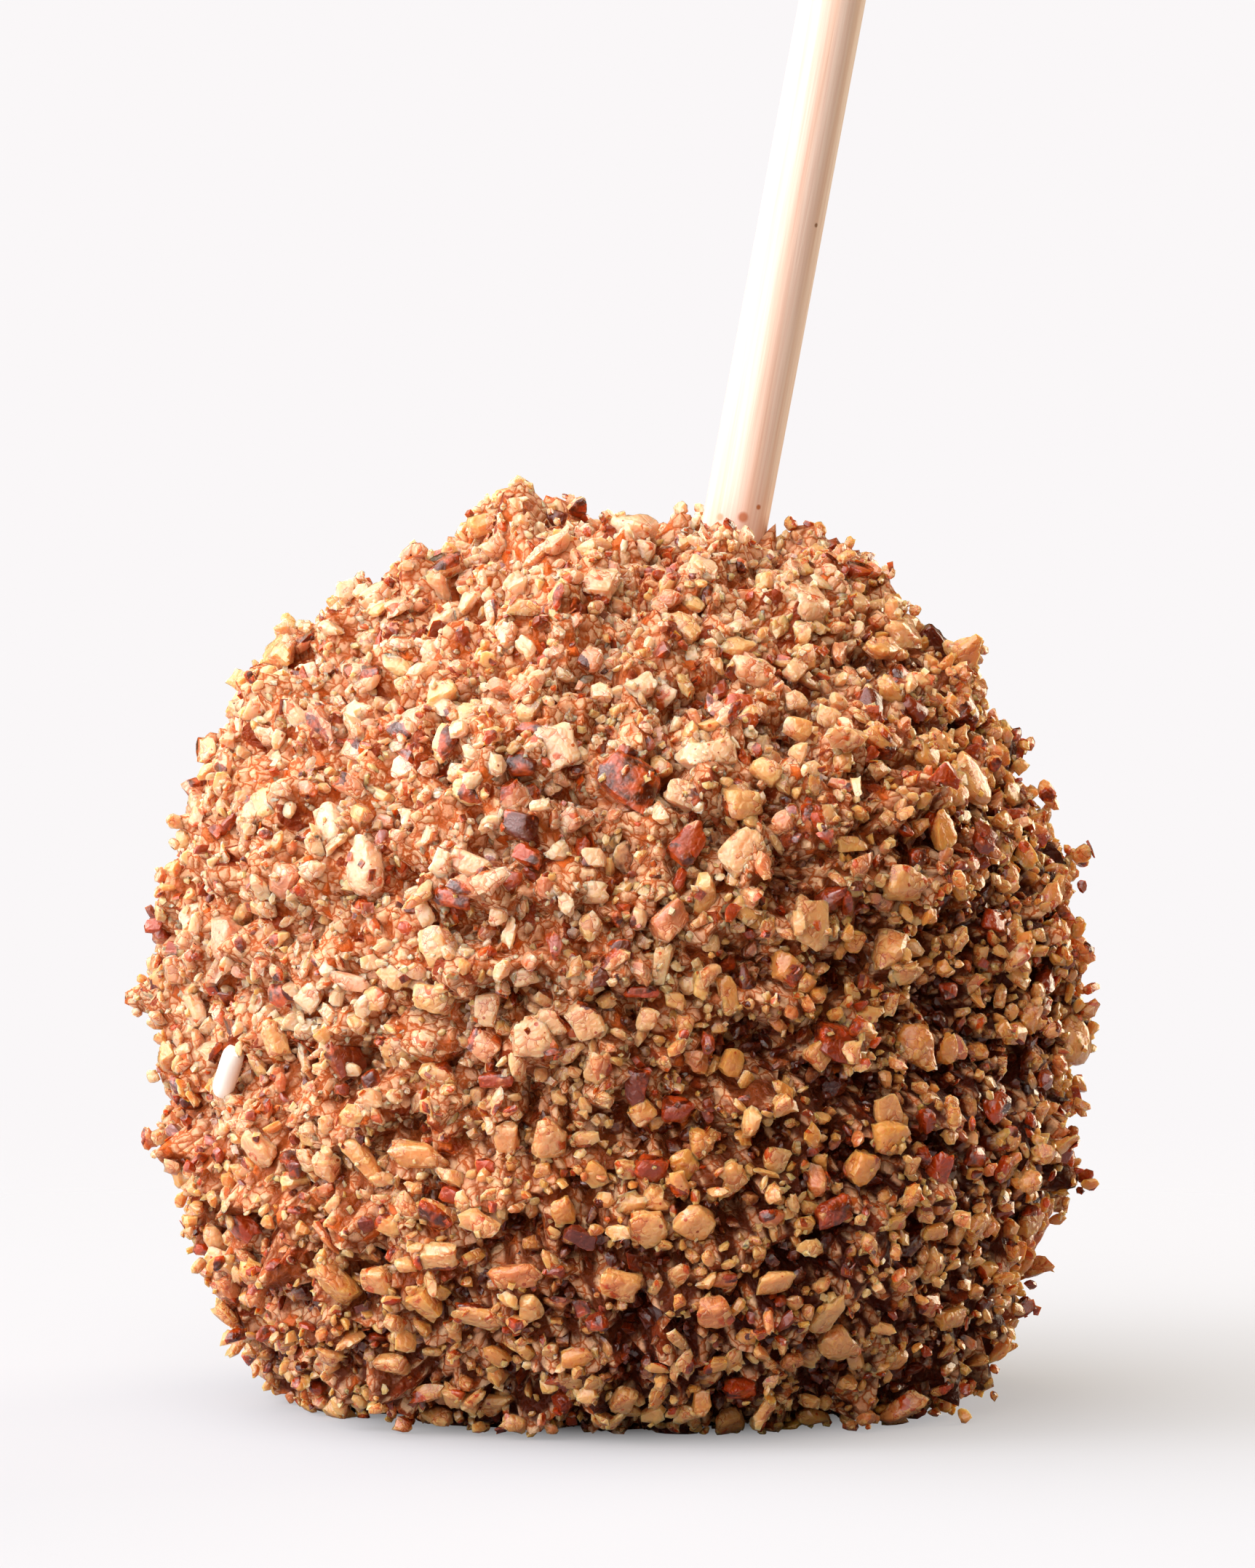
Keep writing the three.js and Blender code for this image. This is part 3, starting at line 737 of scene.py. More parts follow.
# %% Pieces listed one by one
# x and z from the front, length, width, turn in degrees, and kind.
LANDMARKS = [
    (17.4, 78.0, 6.4, 4.8, 85, "pale"), (8.0, 64.4, 6.6, 3.6, 5, "pale"),
    (0.6, 62.3, 7.4, 5.0, -38, "skin"), (-6.1, 64.9, 6.6, 3.8, -60, "pale"),
    (5.5, 60.8, 4.8, 3.2, -25, "pale"), (10.5, 59.8, 4.4, 3.6, 0, "gold"),
    (12.4, 72.6, 4.7, 3.4, -15, "pale"), (24.5, 73.8, 4.6, 3.4, 0, "gold"),
    (23.3, 68.6, 4.4, 3.2, 65, "skin"), (-2.4, 79.3, 5.6, 4.6, 80, "pale"),
    (-17.3, 77.5, 4.2, 3.6, -30, "pale"), (-19.6, 67.5, 5.6, 3.0, 40, "rosy"),
    (-20.3, 71.6, 4.6, 2.3, 3, "pale"), (-24.8, 71.6, 4.2, 3.2, 30, "pale"),
    (-26.0, 68.3, 4.2, 3.4, -20, "pale"), (-10.9, 85.4, 4.6, 3.2, 25, "pale"),
    (-23.4, 77.6, 4.2, 3.6, 60, "pale"), (-27.6, 57.7, 5.4, 4.4, -65, "pale"),
    (-23.9, 53.8, 7.5, 3.8, -72, "pale"), (-13.4, 54.3, 5.0, 3.0, -15, "pale"),
    (-15.2, 51.5, 5.2, 2.5, -8, "skin"), (-9.2, 57.8, 4.6, 3.6, -20, "skin"),
    (6.0, 56.4, 5.2, 3.4, 50, "skin"), (10.3, 55.8, 5.4, 4.0, 40, "pale"),
    (16.7, 49.5, 5.0, 4.4, 75, "pale"), (17.1, 58.5, 4.5, 3.0, -10, "pale"),
    (-16.3, 47.3, 4.4, 3.6, -60, "gold"), (-17.4, 42.6, 5.6, 3.2, -10, "gold"),
    (-7.8, 39.3, 5.4, 4.8, 5, "pale"), (-3.6, 41.0, 4.6, 3.2, -65, "pale"),
    (-12.6, 38.4, 4.0, 3.4, -30, "rosy"), (28.2, 37.0, 5.0, 4.2, 85, "gold"),
    (9.6, 42.8, 4.6, 2.4, -75, "gold"), (15.3, 45.2, 4.0, 3.4, -30, "gold"),
    (-33.1, 27.6, 5.8, 4.0, -35, "pale"), (-23.6, 27.4, 6.8, 2.6, -52, "gold"),
    (-19.0, 28.0, 6.2, 3.4, -5, "gold"), (-6.8, 29.6, 4.8, 4.2, 75, "pale"),
    (6.5, 22.2, 5.0, 4.4, -30, "pale"), (2.2, 22.0, 4.4, 4.0, 80, "pale"),
    (9.6, 25.9, 5.0, 3.2, 35, "pale"), (21.4, 26.9, 4.2, 3.6, 60, "gold"),
    (-16.7, 18.8, 5.2, 3.6, 10, "pale"), (-10.4, 17.4, 6.4, 3.6, 15, "rosy"),
    (-13.0, 13.0, 6.2, 2.6, -20, "pale"), (-0.6, 16.7, 4.8, 3.2, -15, "pale"),
    (7.9, 14.6, 4.6, 3.8, 10, "rosy"), (18.2, 13.2, 5.6, 2.6, 70, "pale"),
    (-16.8, 22.7, 4.6, 3.2, -45, "gold"), (18.5, 23.2, 4.8, 2.8, 20, "skin"),
    (-5.2, 6.3, 5.6, 2.4, 0, "pale"), (11.0, 5.2, 4.6, 3.0, 5, "skin"), (28.6, 56.8, 5.0, 3.0, 80, "gold"),
    (-30.8, 52.5, 4.6, 3.4, 60, "rosy"), (41.0, 56.0, 4.0, 3.6, 80, "gold"),
    (28.7, 26.0, 4.6, 2.6, 85, "skin"), (34.8, 30.8, 4.0, 3.0, 20, "skin"),
    (12.3, 32.2, 4.2, 3.4, 20, "rosy"), (-6.8, 85.0, 4.0, 2.8, 0, "skin"),
    (-42.6, 46.0, 3.4, 3.0, 10, "skin"),
]

# %% Smaller pieces listed one by one
# They are too small for the solid. x, z, length, width, turn and kind, as before.
SMALLER = [
    (10.5, 75.3, 3.8, 2.6, 20, "gold"), (26.3, 71.6, 3.2, 2.6, 20, "skin"),
    (27.5, 68.5, 3.6, 2.4, -55, "skin"), (11.5, 67.7, 4.0, 3.0, 45, "gold"),
    (12.7, 62.6, 3.4, 3.2, -40, "gold"), (15.6, 62.3, 3.6, 1.8, -55, "pale"),
    (16.2, 66.8, 3.6, 2.8, -30, "gold"), (16.2, 69.9, 2.4, 2.2, 0, "pale"),
    (21.8, 77.7, 3.4, 3.0, 0, "pale"), (19.7, 63.3, 2.6, 2.2, 80, "gold"),
    (-6.2, 77.6, 3.6, 3.0, 0, "pale"), (-8.5, 68.0, 3.6, 2.6, 70, "gold"),
    (-11.9, 65.0, 3.0, 2.8, -50, "pale"), (-16.3, 65.0, 3.8, 2.6, 75, "gold"),
    (-20.8, 63.3, 3.2, 2.6, 30, "pale"), (-23.3, 60.9, 3.6, 2.2, -15, "gold"),
    (-14.8, 62.5, 2.4, 2.3, 0, "pale"), (-9.0, 63.2, 3.2, 2.8, 0, "skin"),
    (-3.2, 73.2, 3.4, 2.8, 60, "rosy"), (-2.2, 70.3, 2.8, 2.4, 0, "pale"),
    (10.9, 50.7, 3.4, 2.6, -50, "gold"), (20.3, 52.3, 2.6, 2.4, 0, "pale"),
    (19.8, 56.0, 3.8, 2.0, 5, "gold"), (8.0, 47.8, 2.3, 2.2, 0, "pale"), (3.4, 45.8, 4.4, 2.2, 80, "pale"),
    (1.6, 43.3, 3.4, 1.5, 0, "skin"), (-2.0, 44.8, 2.8, 2.8, 0, "skin"), (7.1, 43.7, 3.4, 2.0, 80, "gold"),
    (18.0, 37.0, 3.4, 2.7, -45, "gold"), (22.6, 38.5, 3.8, 2.9, -60, "gold"),
    (10.1, 36.4, 3.4, 2.6, 80, "gold"), (21.7, 42.4, 2.8, 1.8, -60, "pale"),
    (21.5, 47.5, 2.8, 2.0, 60, "gold"), (4.6, 42.5, 2.7, 1.9, -15, "gold"),
    (2.1, 40.8, 3.2, 2.3, 80, "pale"), (5.6, 40.0, 3.2, 2.4, 70, "gold"),
    (-17.8, 50.0, 3.0, 2.4, -60, "pale"), (-11.0, 49.8, 2.2, 2.0, 0, "pale"),
    (-8.5, 55.3, 3.8, 2.4, -20, "skin"), (-9.9, 53.0, 3.0, 2.6, 0, "skin"),
    (-2.8, 55.3, 2.8, 2.3, 10, "pale"), (-2.7, 52.2, 3.0, 2.1, 5, "pale"),
    (-3.0, 49.3, 3.0, 2.6, -45, "gold"), (-13.5, 46.2, 2.3, 2.2, 0, "pale"),
    (-21.0, 44.3, 3.4, 2.6, -40, "gold"), (-22.9, 41.9, 2.8, 2.7, 0, "gold"),
    (-12.2, 41.7, 3.6, 3.0, 80, "pale"), (-20.9, 37.5, 3.8, 3.2, 0, "gold"),
    (1.3, 49.8, 2.6, 2.2, 80, "pale"), (-0.3, 47.2, 2.6, 2.4, 0, "skin"),
    (-17.0, 35.2, 4.0, 2.8, 0, "gold"), (-2.8, 36.2, 3.0, 2.2, 80, "pale"),
    (-11.8, 35.0, 3.8, 1.9, 0, "skin"), (-33.1, 54.3, 2.8, 1.4, 45, "skin"),
    (-31.6, 55.7, 2.6, 1.6, 80, "gold"), (-33.8, 57.3, 4.4, 3.0, 70, "pale"),
    (-31.0, 58.8, 2.4, 1.9, 0, "pale"), (-30.0, 60.8, 3.6, 2.2, 5, "rosy"),
    (-34.0, 67.0, 3.2, 3.0, 0, "pale"), (-29.6, 65.8, 1.8, 1.6, 0, "pale"),
    (-27.4, 66.0, 2.8, 0.8, 0, "skin"), (-28.4, 67.9, 2.6, 1.8, 60, "gold"),
    (-23.0, 58.6, 2.6, 1.6, 0, "rosy"), (-22.8, 56.6, 2.8, 1.6, 85, "skin"),
    (-38.0, 67.0, 2.6, 1.8, 0, "skin"), (-41.0, 58.0, 3.0, 2.6, 0, "pale"),
    (-41.0, 43.0, 4.4, 3.6, 0, "gold"), (-40.0, 32.6, 2.6, 1.8, 80, "skin"),
    (-37.7, 25.9, 2.4, 1.8, 60, "skin"), (-36.0, 20.8, 2.4, 2.0, 0, "skin"),
    (-38.5, 17.5, 3.6, 3.2, 0, "pale"), (-33.0, 38.7, 3.2, 1.8, -5, "gold"),
    (-32.2, 41.6, 3.2, 3.0, 0, "rosy"), (-29.0, 32.4, 3.8, 1.6, 85, "rosy"),
    (-25.6, 43.4, 5.6, 2.0, -5, "rosy"), (-27.4, 38.5, 4.0, 2.4, 85, "pale"),
    (-37.0, 38.0, 4.0, 2.8, 0, "pale"), (-23.8, 31.6, 3.4, 2.2, 0, "pale"),
    (-25.2, 35.2, 2.2, 1.6, 0, "pale"), (-26.3, 33.4, 1.8, 1.6, 0, "skin"),
    (-28.6, 35.0, 2.2, 1.6, 0, "gold"), (-27.0, 26.6, 4.0, 3.2, 80, "pale"),
    (-29.1, 28.8, 2.8, 2.0, 0, "gold"), (-29.9, 26.2, 2.6, 2.4, 0, "skin"),
    (-3.5, 29.6, 3.2, 1.8, 10, "pale"), (-2.8, 26.6, 3.2, 2.8, -45, "gold"),
    (0.0, 26.9, 2.4, 2.2, 0, "pale"), (-7.4, 26.7, 2.2, 1.8, 0, "gold"), (-12.6, 26.9, 2.4, 2.2, 0, "skin"),
    (-11.5, 24.0, 3.4, 1.8, -35, "skin"), (-12.0, 22.8, 4.4, 2.6, -20, "pale"),
    (-15.4, 24.3, 3.4, 2.2, -20, "skin"), (-19.5, 23.4, 3.6, 2.6, -70, "pale"),
    (-21.0, 21.8, 3.4, 2.8, -20, "gold"), (-6.1, 17.8, 2.0, 1.5, 0, "skin"),
    (-8.5, 14.6, 3.4, 2.8, -75, "pale"), (-3.9, 21.2, 3.8, 2.6, -30, "skin"),
    (-5.5, 23.3, 3.2, 2.6, -70, "gold"), (-22.3, 16.4, 3.8, 3.2, 0, "pale"),
    (-17.9, 14.0, 4.0, 3.2, -60, "gold"), (-21.4, 7.6, 4.0, 2.8, -10, "pale"),
    (-12.0, 7.6, 3.4, 2.6, -50, "gold"), (-9.2, 8.9, 2.8, 1.8, -60, "gold"),
    (-4.2, 9.2, 3.4, 2.4, 0, "gold"), (-18.0, 8.0, 2.4, 1.1, 0, "pale"), (5.7, 26.9, 4.2, 2.6, -50, "gold"),
    (7.2, 29.1, 4.0, 3.0, 85, "gold"), (4.8, 32.0, 3.6, 3.2, 0, "skin"), (1.8, 32.0, 3.6, 3.0, 40, "gold"),
    (13.9, 27.7, 3.4, 2.8, -15, "pale"), (24.2, 31.8, 4.0, 3.2, -65, "pale"),
    (16.3, 22.0, 2.4, 2.2, 0, "gold"), (13.2, 22.5, 2.6, 2.2, 0, "rosy"), (12.1, 19.6, 1.6, 1.6, 0, "pale"),
    (13.4, 17.2, 4.4, 3.0, 10, "pale"), (9.1, 17.4, 2.8, 1.9, 0, "rosy"), (2.9, 16.6, 2.2, 1.5, 65, "pale"),
    (4.9, 11.6, 3.2, 1.4, -50, "pale"), (3.0, 8.6, 2.8, 1.4, -15, "pale"), (8.5, 9.0, 2.6, 2.2, 0, "gold"),
    (19.6, 8.9, 3.0, 2.0, -10, "pale"), (15.5, 7.8, 2.8, 2.4, 0, "rosy"), (25.6, 7.0, 3.0, 2.6, 0, "gold"),
    (31.5, 46.5, 2.8, 2.4, -75, "pale"), (31.5, 61.6, 2.8, 2.4, 80, "pale"),
    (31.0, 60.0, 3.4, 2.6, 0, "pale"), (28.0, 64.0, 3.4, 2.8, 60, "gold"),
    (26.8, 61.3, 3.0, 2.6, 0, "skin"), (31.8, 58.2, 2.0, 1.4, 0, "pale"), (33.2, 52.3, 2.4, 2.2, 0, "gold"),
    (31.0, 51.8, 4.0, 2.2, -50, "gold"), (36.0, 52.2, 1.8, 1.4, 80, "pale"),
    (36.3, 48.4, 2.6, 2.4, 0, "pale"), (38.7, 55.0, 2.8, 2.6, 0, "gold"), (28.3, 49.4, 2.6, 2.0, 0, "gold"),
    (32.0, 41.8, 2.4, 2.0, 0, "skin"), (26.3, 54.5, 2.4, 2.0, 0, "skin"),
    (36.5, 41.0, 3.0, 1.8, 80, "pale"), (38.0, 39.8, 2.0, 1.4, -30, "pale"),
    (39.0, 41.0, 2.4, 2.2, 0, "pale"), (41.6, 39.8, 2.2, 1.8, 90, "gold"),
    (41.2, 52.5, 2.0, 1.6, 0, "skin"), (31.3, 36.2, 3.6, 2.4, -70, "gold"),
    (37.0, 37.2, 3.6, 3.0, 0, "gold"), (28.9, 31.9, 3.4, 2.2, -20, "pale"),
    (29.0, 22.8, 3.0, 2.6, 0, "rosy"), (32.3, 26.8, 3.2, 2.4, 0, "skin"), (32.4, 25.1, 2.2, 1.6, 0, "gold"),
    (33.0, 19.8, 3.6, 3.0, 60, "gold"), (36.0, 28.0, 3.2, 3.0, 0, "gold"),
    (39.3, 32.8, 3.0, 2.6, 0, "skin"), (41.0, 32.0, 2.4, 2.0, 0, "gold"),
    (41.4, 25.3, 3.0, 2.4, 60, "skin"), (37.6, 23.8, 2.4, 2.4, 0, "pale"),
    (40.0, 17.8, 3.2, 2.4, 80, "gold"), (39.0, 13.5, 4.0, 2.6, 80, "gold"),
    (35.0, 14.2, 2.6, 2.4, 0, "gold"), (33.4, 12.6, 2.4, 2.0, 0, "gold"),
    (31.0, 10.6, 5.0, 3.0, 10, "gold"), (28.7, 12.2, 3.6, 2.8, 0, "rosy"),
    (29.0, 16.1, 2.6, 2.2, 0, "pale"), (26.4, 16.0, 2.4, 1.8, 0, "rosy"), (28.7, 20.4, 4.0, 2.0, 5, "gold"),
    (24.6, 21.8, 3.2, 2.0, 0, "gold"),
]
print("smaller pieces placed by hand:", len(SMALLER))

# %% The stick's axis, which the nuts keep clear of
STICK_RADIUS, STICK_LENGTH, STICK_SUNK = 3.175, 140.0, 58.0
STICK_LEAN = math.radians(10.5)
STICK_ENTRY = np.array([10.4, 0.0, 83.5])
STICK_AXIS = np.array([math.sin(STICK_LEAN), 0.0, math.cos(STICK_LEAN)])
STICK_TIP = STICK_ENTRY - STICK_SUNK * STICK_AXIS


def stick_distance(points):
    away = points - STICK_TIP
    return np.linalg.norm(away - (away @ STICK_AXIS)[..., None] * STICK_AXIS, axis=-1)


# %% Pieces spread by the rule
PIECE_COUNT, PIECE_SEED = 206, 5
PIECE_LONGEST, PIECE_SHORTEST, PIECE_SPACING = 6.2, 3.0, 3.8
STICK_MARGIN = 3.2
PIECE_THICKNESS, PIECE_PROUD, PIECE_JITTER = 0.72, 0.22, 0.55

# How far chance moves a piece up or down and round the spiral.
STRAY_UP, STRAY_ROUND = 0.05, 0.12


def spread_directions(chance, taken):
    golden = math.pi * (3 - math.sqrt(5))
    found = []
    for i in range(PIECE_COUNT):
        rise = 1 - 2 * (i + 0.5) / PIECE_COUNT + STRAY_UP * (chance.draw() - 0.5)
        turn = golden * i + STRAY_ROUND * (chance.draw() - 0.5)
        flat = math.sqrt(max(0, 1 - rise * rise))
        direction = unit(np.array([flat * math.cos(turn), flat * math.sin(turn), rise]))
        here = coat_points(direction[None])[0]
        near_stick = stick_distance(here) < STICK_RADIUS + STICK_MARGIN
        apart = np.linalg.norm(taken - here, axis=1).min() >= PIECE_SPACING
        if here[2] >= 1 and not near_stick and apart:
            found.append(direction)
    return found


def knocks_from(chance):
    return np.array([[chance.draw() for _ in range(3)] for _ in CORNERS]) * PIECE_JITTER


def large_pieces():
    """Direction, length, width, turn, knocked corners and kind of each."""
    chance = Chance(PIECE_SEED)
    pieces = []
    for x, z, long, wide, turn, kind in LANDMARKS:
        pieces.append((direction_at(x, z), long, wide, math.radians(turn), knocks_from(chance), kind))
    taken = coat_points(np.array([p[0] for p in pieces]))
    for direction in spread_directions(chance, taken):
        long = PIECE_SHORTEST + (PIECE_LONGEST - PIECE_SHORTEST) * chance.draw() ** 2
        wide = long * (0.6 + 0.3 * chance.draw())
        pieces.append((direction, long, wide, math.pi * chance.draw(), knocks_from(chance), ""))
    return pieces


def surface_frames(outward, turns):
    """Rows along a piece, across it and outwards."""
    level = unit(np.stack([-outward[:, 1], outward[:, 0], np.full(len(outward), 1e-9)], 1))
    upward = np.cross(outward, level)
    along = level * np.cos(turns)[:, None] + upward * np.sin(turns)[:, None]
    return np.stack([along, np.cross(outward, along), outward], 1)


pieces = large_pieces()
print("larger pieces:", len(pieces), "of which placed by hand:", len(LANDMARKS))

# %% Which side has skin
def skin_marks(shape, share, most=0.75):
    """For each point, how much it lies on the skin side. A share of the bits has such a side."""
    count = len(shape)
    side = unit(draws.normal(size=(count, 3)))
    edge = draws.uniform(0.15, most, count)
    facing = (unit(shape) * side[:, None]).sum(2)
    has = draws.random(count) < share
    return np.clip(0.5 + 1.2 * (facing - edge[:, None]), 0, 1) * has[:, None]


# %% Make the larger pieces, one mesh for each kind
# How many bits of a kind have skin, and how many pieces the rule spreads are of that kind.
SKIN_SHARES = {"pale": 0.16, "peach": 0.2, "gold": 0.26, "rosy": 0.5, "skin": 1.0}
OTHER_SHARES = [0.30, 0.12, 0.28, 0.18, 0.12]
PIECE_CUTS, SMALLER_CUTS = 6, 4

# Cleaving and rounding make a piece smaller, so it starts a little larger.
PIECE_SWELL, PIECE_BALLS = 1.06, 7


def make_pieces(name, kind, chosen, cuts):
    direction, long, wide, turn, knocks, _ = (np.array(column) for column in zip(*chosen))
    thick = wide * PIECE_THICKNESS
    sizes = np.stack([long, wide, thick], 1) * PIECE_SWELL
    origins = coat_points(direction) + direction * (PIECE_PROUD * thick)[:, None]
    shape = knocked_shapes(cuts, knocks, 4.5)
    shape = shape * lobes_of(cube_grid(cuts)[0], len(chosen), PIECE_BALLS)[..., None] ** 0.4
    shape = cleave(shape, 5, 0.62, 0.88)
    shape = crumble(shape, 0.12, 0.40)
    places = placed(shape, sizes, surface_frames(direction, turn), origins)
    skin = skin_marks(shape, SKIN_SHARES[kind], 0.4 if kind == "skin" else 0.8)
    marks = {"tone": draws.random((len(chosen), 1)), "skin": skin, **coat_marks(places)}
    piece = joined_mesh(name, places, cuts, marks)
    dress(piece, FINISHES[kind], "coated_apple")
    solid_pieces.append(piece)
    return origins, long


solid_pieces, placed_pieces = [bed], []
other_kinds = draws.choice(list(FINISHES), len(pieces), p=OTHER_SHARES)
large = [p[:5] + (p[5] or other,) for p, other in zip(pieces, other_kinds)]
smaller = [
    (direction_at(x, z), long, wide, math.radians(turn), draws.random((8, 3)) * PIECE_JITTER, kind)
    for x, z, long, wide, turn, kind in SMALLER
]
for kind in FINISHES:
    for name, group, cuts in (("pieces", large, PIECE_CUTS), ("smaller_pieces", smaller, SMALLER_CUTS)):
        chosen = [p for p in group if p[5] == kind]
        if chosen:
            placed_pieces.append(make_pieces(f"{kind}_{name}", kind, chosen, cuts))

# %% [markdown]
# ## Granules
#
# The rest is thousands of granules. Blender's particles could strew them, but particles
# don't survive an export, and they overlap badly. Here each granule takes a random place and a
# random depth, and keeps it only if it is far enough from those already there, largest first,
# as bits find room when an apple is rolled. There are three layers: the middling ones near the
# top, granules a little deeper, and small ones lower down, in what the others leave open.

# %% Shades that neighbours share
# About how wide a patch of one tone and of one kind is, in millimetres.
TONE_PATCH, KIND_PATCH = 3.2, 3.6


def shared_tone(places, spread):
    """A tone for each bit: its neighbours', changed a little."""
    tone = 0.5 + 0.5 * lattice_noise(places / TONE_PATCH, 21) + draws.normal(0, spread, len(places))
    return np.clip(tone, 0, 1)[:, None]


def shared_kind(places, shares):
    """A kind for each bit, so that neighbours are often of one kind and each kind gets its share."""
    value = lattice_noise(places / KIND_PATCH, 33) + draws.normal(0, 0.4, len(places))
    return np.searchsorted(np.quantile(value, np.cumsum(shares)[:-1]), value)


# %% Find room for granules
# The cells' width, and the lowest place of a granule's middle.
GRID_STEP, LOWEST = 2.6, 0.25
NEIGHBOURS = [(x, y, z) for x in (-1, 0, 1) for y in (-1, 0, 1) for z in (-1, 0, 1)]


class Crowd:
    """Remembers where bits are, in a grid of cells, so that only near ones are compared."""

    def __init__(self):
        self.cells = {}

    def cell(self, place):
        return tuple(int(v // GRID_STEP) for v in place)

    def add(self, place, radius):
        self.cells.setdefault(self.cell(place), []).append((*place, radius))

    def has_room(self, place, radius, closeness):
        x, y, z = place
        a, b, c = self.cell(place)
        for i, j, k in NEIGHBOURS:
            for px, py, pz, other in self.cells.get((a + i, b + j, c + k), ()):
                least = closeness * (radius + other)
                if (px - x) ** 2 + (py - y) ** 2 + (pz - z) ** 2 < least * least:
                    return False
        return True


def scatter(crowd, tries, sizes, depths, closeness):
    """Directions, places and sizes of the bits that found room. sizes are the smallest, the
    largest and a power: above 1 it makes most of them small. depths are the least and the most.
    Bits may overlap the more, the lower closeness is under 1."""
    directions = unit(draws.normal(size=(tries, 3)))
    coat = coat_points(directions)
    low, high, lean = sizes
    size = np.sort(low + (high - low) * draws.random(tries) ** lean)[::-1]
    lift = clumps(coat) - draws.uniform(*depths, tries)
    places = coat + directions * lift[:, None]
    clear = (places[:, 2] > LOWEST) & (stick_distance(places) > STICK_RADIUS + 0.35 * size)
    kept = []
    for i in np.flatnonzero(clear):
        place = tuple(places[i].tolist())
        radius = size[i] / 2
        if crowd.has_room(place, radius, closeness):
            crowd.add(place, radius)
            kept.append(i)
    return directions[kept], places[kept], size[kept]


# The sugar strand keeps its own room, and so does each larger piece, by its length.
crowd = Crowd()
STRAND_SIZE, STRAND_ROOM = (5.4, 2.2, 2.1), 2.6
PIECE_ROOM = 0.36
STRAND_AT = direction_at(-37.1, 33.9)[None]
STRAND_ALONG = unit(np.array([[0.26, -0.55, 0.79]]))
STRAND_ORIGIN = coat_points(STRAND_AT) + STRAND_AT * 1.0
crowd.add(tuple(STRAND_ORIGIN[0].tolist()), STRAND_ROOM)
for origins, long in placed_pieces:
    for origin, size in zip(origins.tolist(), long.tolist()):
        crowd.add(tuple(origin), size * PIECE_ROOM)

scale = 1.0
middling = scatter(crowd, int(2200 * scale), sizes=(2.5, 4.2, 1.6), depths=(-0.4, 0.6), closeness=0.60)
granules = scatter(crowd, int(8500 * scale), sizes=(1.8, 3.2, 1.1), depths=(-0.5, 1.0), closeness=0.55)
small = scatter(crowd, int(34000 * scale), sizes=(1.25, 2.1, 0.9), depths=(0.3, 1.9), closeness=0.48)
print("found room:", [len(found[2]) for found in (middling, granules, small)])

# %% Make the granules, one mesh for each kind
def random_frames(outward, upright):
    """Random turns, the more upright the closer the third row is to the outward direction."""
    third = unit(draws.normal(size=outward.shape) + outward * upright)
    first = unit(np.cross(third, draws.normal(size=outward.shape)))
    return np.stack([first, np.cross(third, first), third], 1)


# Each point of a granule moves in or out by a factor of its own, between these.
JITTER = (0.84, 1.14)


def make_granules(layer, kind, found, cuts, upright, chosen):
    direction, places, size = (values[chosen] for values in found)
    count = len(size)
    sizes = size[:, None] * np.stack([
        np.ones(count) * 1.15,
        draws.uniform(0.66, 1.0, count),
        draws.uniform(0.50, 0.85, count),
    ], 1)
    lumpy = cuts > 2
    shape = broken_shapes(cuts, count, 0.8, roundness=4.0 if lumpy else 2.4, balls=6 if lumpy else 0)
    shape = cleave(shape, 3, 0.50, 0.90) * draws.uniform(*JITTER, shape.shape[:2])[..., None]
    points = placed(shape, sizes, random_frames(direction, upright), places)
    marks = {"tone": shared_tone(places, 0.15), "skin": skin_marks(shape, SKIN_SHARES[kind])}
    marks |= coat_marks(points)
    piece = joined_mesh(f"{kind}_{layer}", points, cuts, marks)
    dress(piece, FINISHES[kind], "coated_apple")
    solid_pieces.append(piece)


# For each layer: what was found, the cuts of its grid, and how upright its bits lie.
KIND_SHARES = [0.24, 0.32, 0.23, 0.14, 0.07]
LAYERS = {"middling": (middling, 3, 1.5), "granules": (granules, 2, 0.8), "small_granules": (small, 0, 0.5)}
for layer, (found, cuts, upright) in LAYERS.items():
    choice = shared_kind(found[1], KIND_SHARES)
    for i, kind in enumerate(FINISHES):
        make_granules(layer, kind, found, cuts, upright, choice == i)

# %% [markdown]
# ## Crumbs and flakes of skin
#
# The finest bits lie on top of what is there, mostly down in the gaps. Their places can't be
# told from the smooth form, so a ray is cast at the apple for each and the crumb is put where
# the ray lands. A crumb is only a few pixels wide, so a knocked cube of six quads does.

# %% Where rays from outside land
# How far over the coat rays start, and how near the floor and the stick a scrap may land.
RAY_START, RAY_LOWEST, SCRAP_MARGIN = 9, 0.4, 0.6


def search_tree(pieces):
    points, faces = [], []
    for piece in pieces:
        mesh = piece.data
        start = sum(len(p) for p in points)
        flat = np.empty(len(mesh.vertices) * 3)
        mesh.vertices.foreach_get("co", flat)
        corners = np.empty(len(mesh.loops), np.int64)
        mesh.loops.foreach_get("vertex_index", corners)
        points.append(flat.reshape(-1, 3) / MM)
        faces.append(corners.reshape(-1, 4) + start)
    return BVHTree.FromPolygons(np.vstack(points).tolist(), np.vstack(faces).tolist())


def landings(tree, tries):
    """Places where rays land, and which way the surface faces there."""
    directions = unit(draws.normal(size=(tries, 3)))
    coat = coat_points(directions)
    found = []
    for direction, start in zip(directions, coat + directions * RAY_START):
        place, facing, _, _ = tree.ray_cast(Vector(start), Vector(-direction))
        if place is not None and place.z > RAY_LOWEST:
            found.append((*place, *facing))
    found = np.array(found)
    places, facing = found[:, :3], found[:, 3:]
    clear = stick_distance(places) > STICK_RADIUS + SCRAP_MARGIN
    return places[clear], facing[clear]


tree = search_tree(solid_pieces)
places, facing = landings(tree, int(6000 * scale))
low_down = draws.random(len(places)) < 0.45 + 0.8 * coat_marks(places)["sunk"]
places, facing = places[low_down], facing[low_down]
print("crumbs and flakes:", len(places))

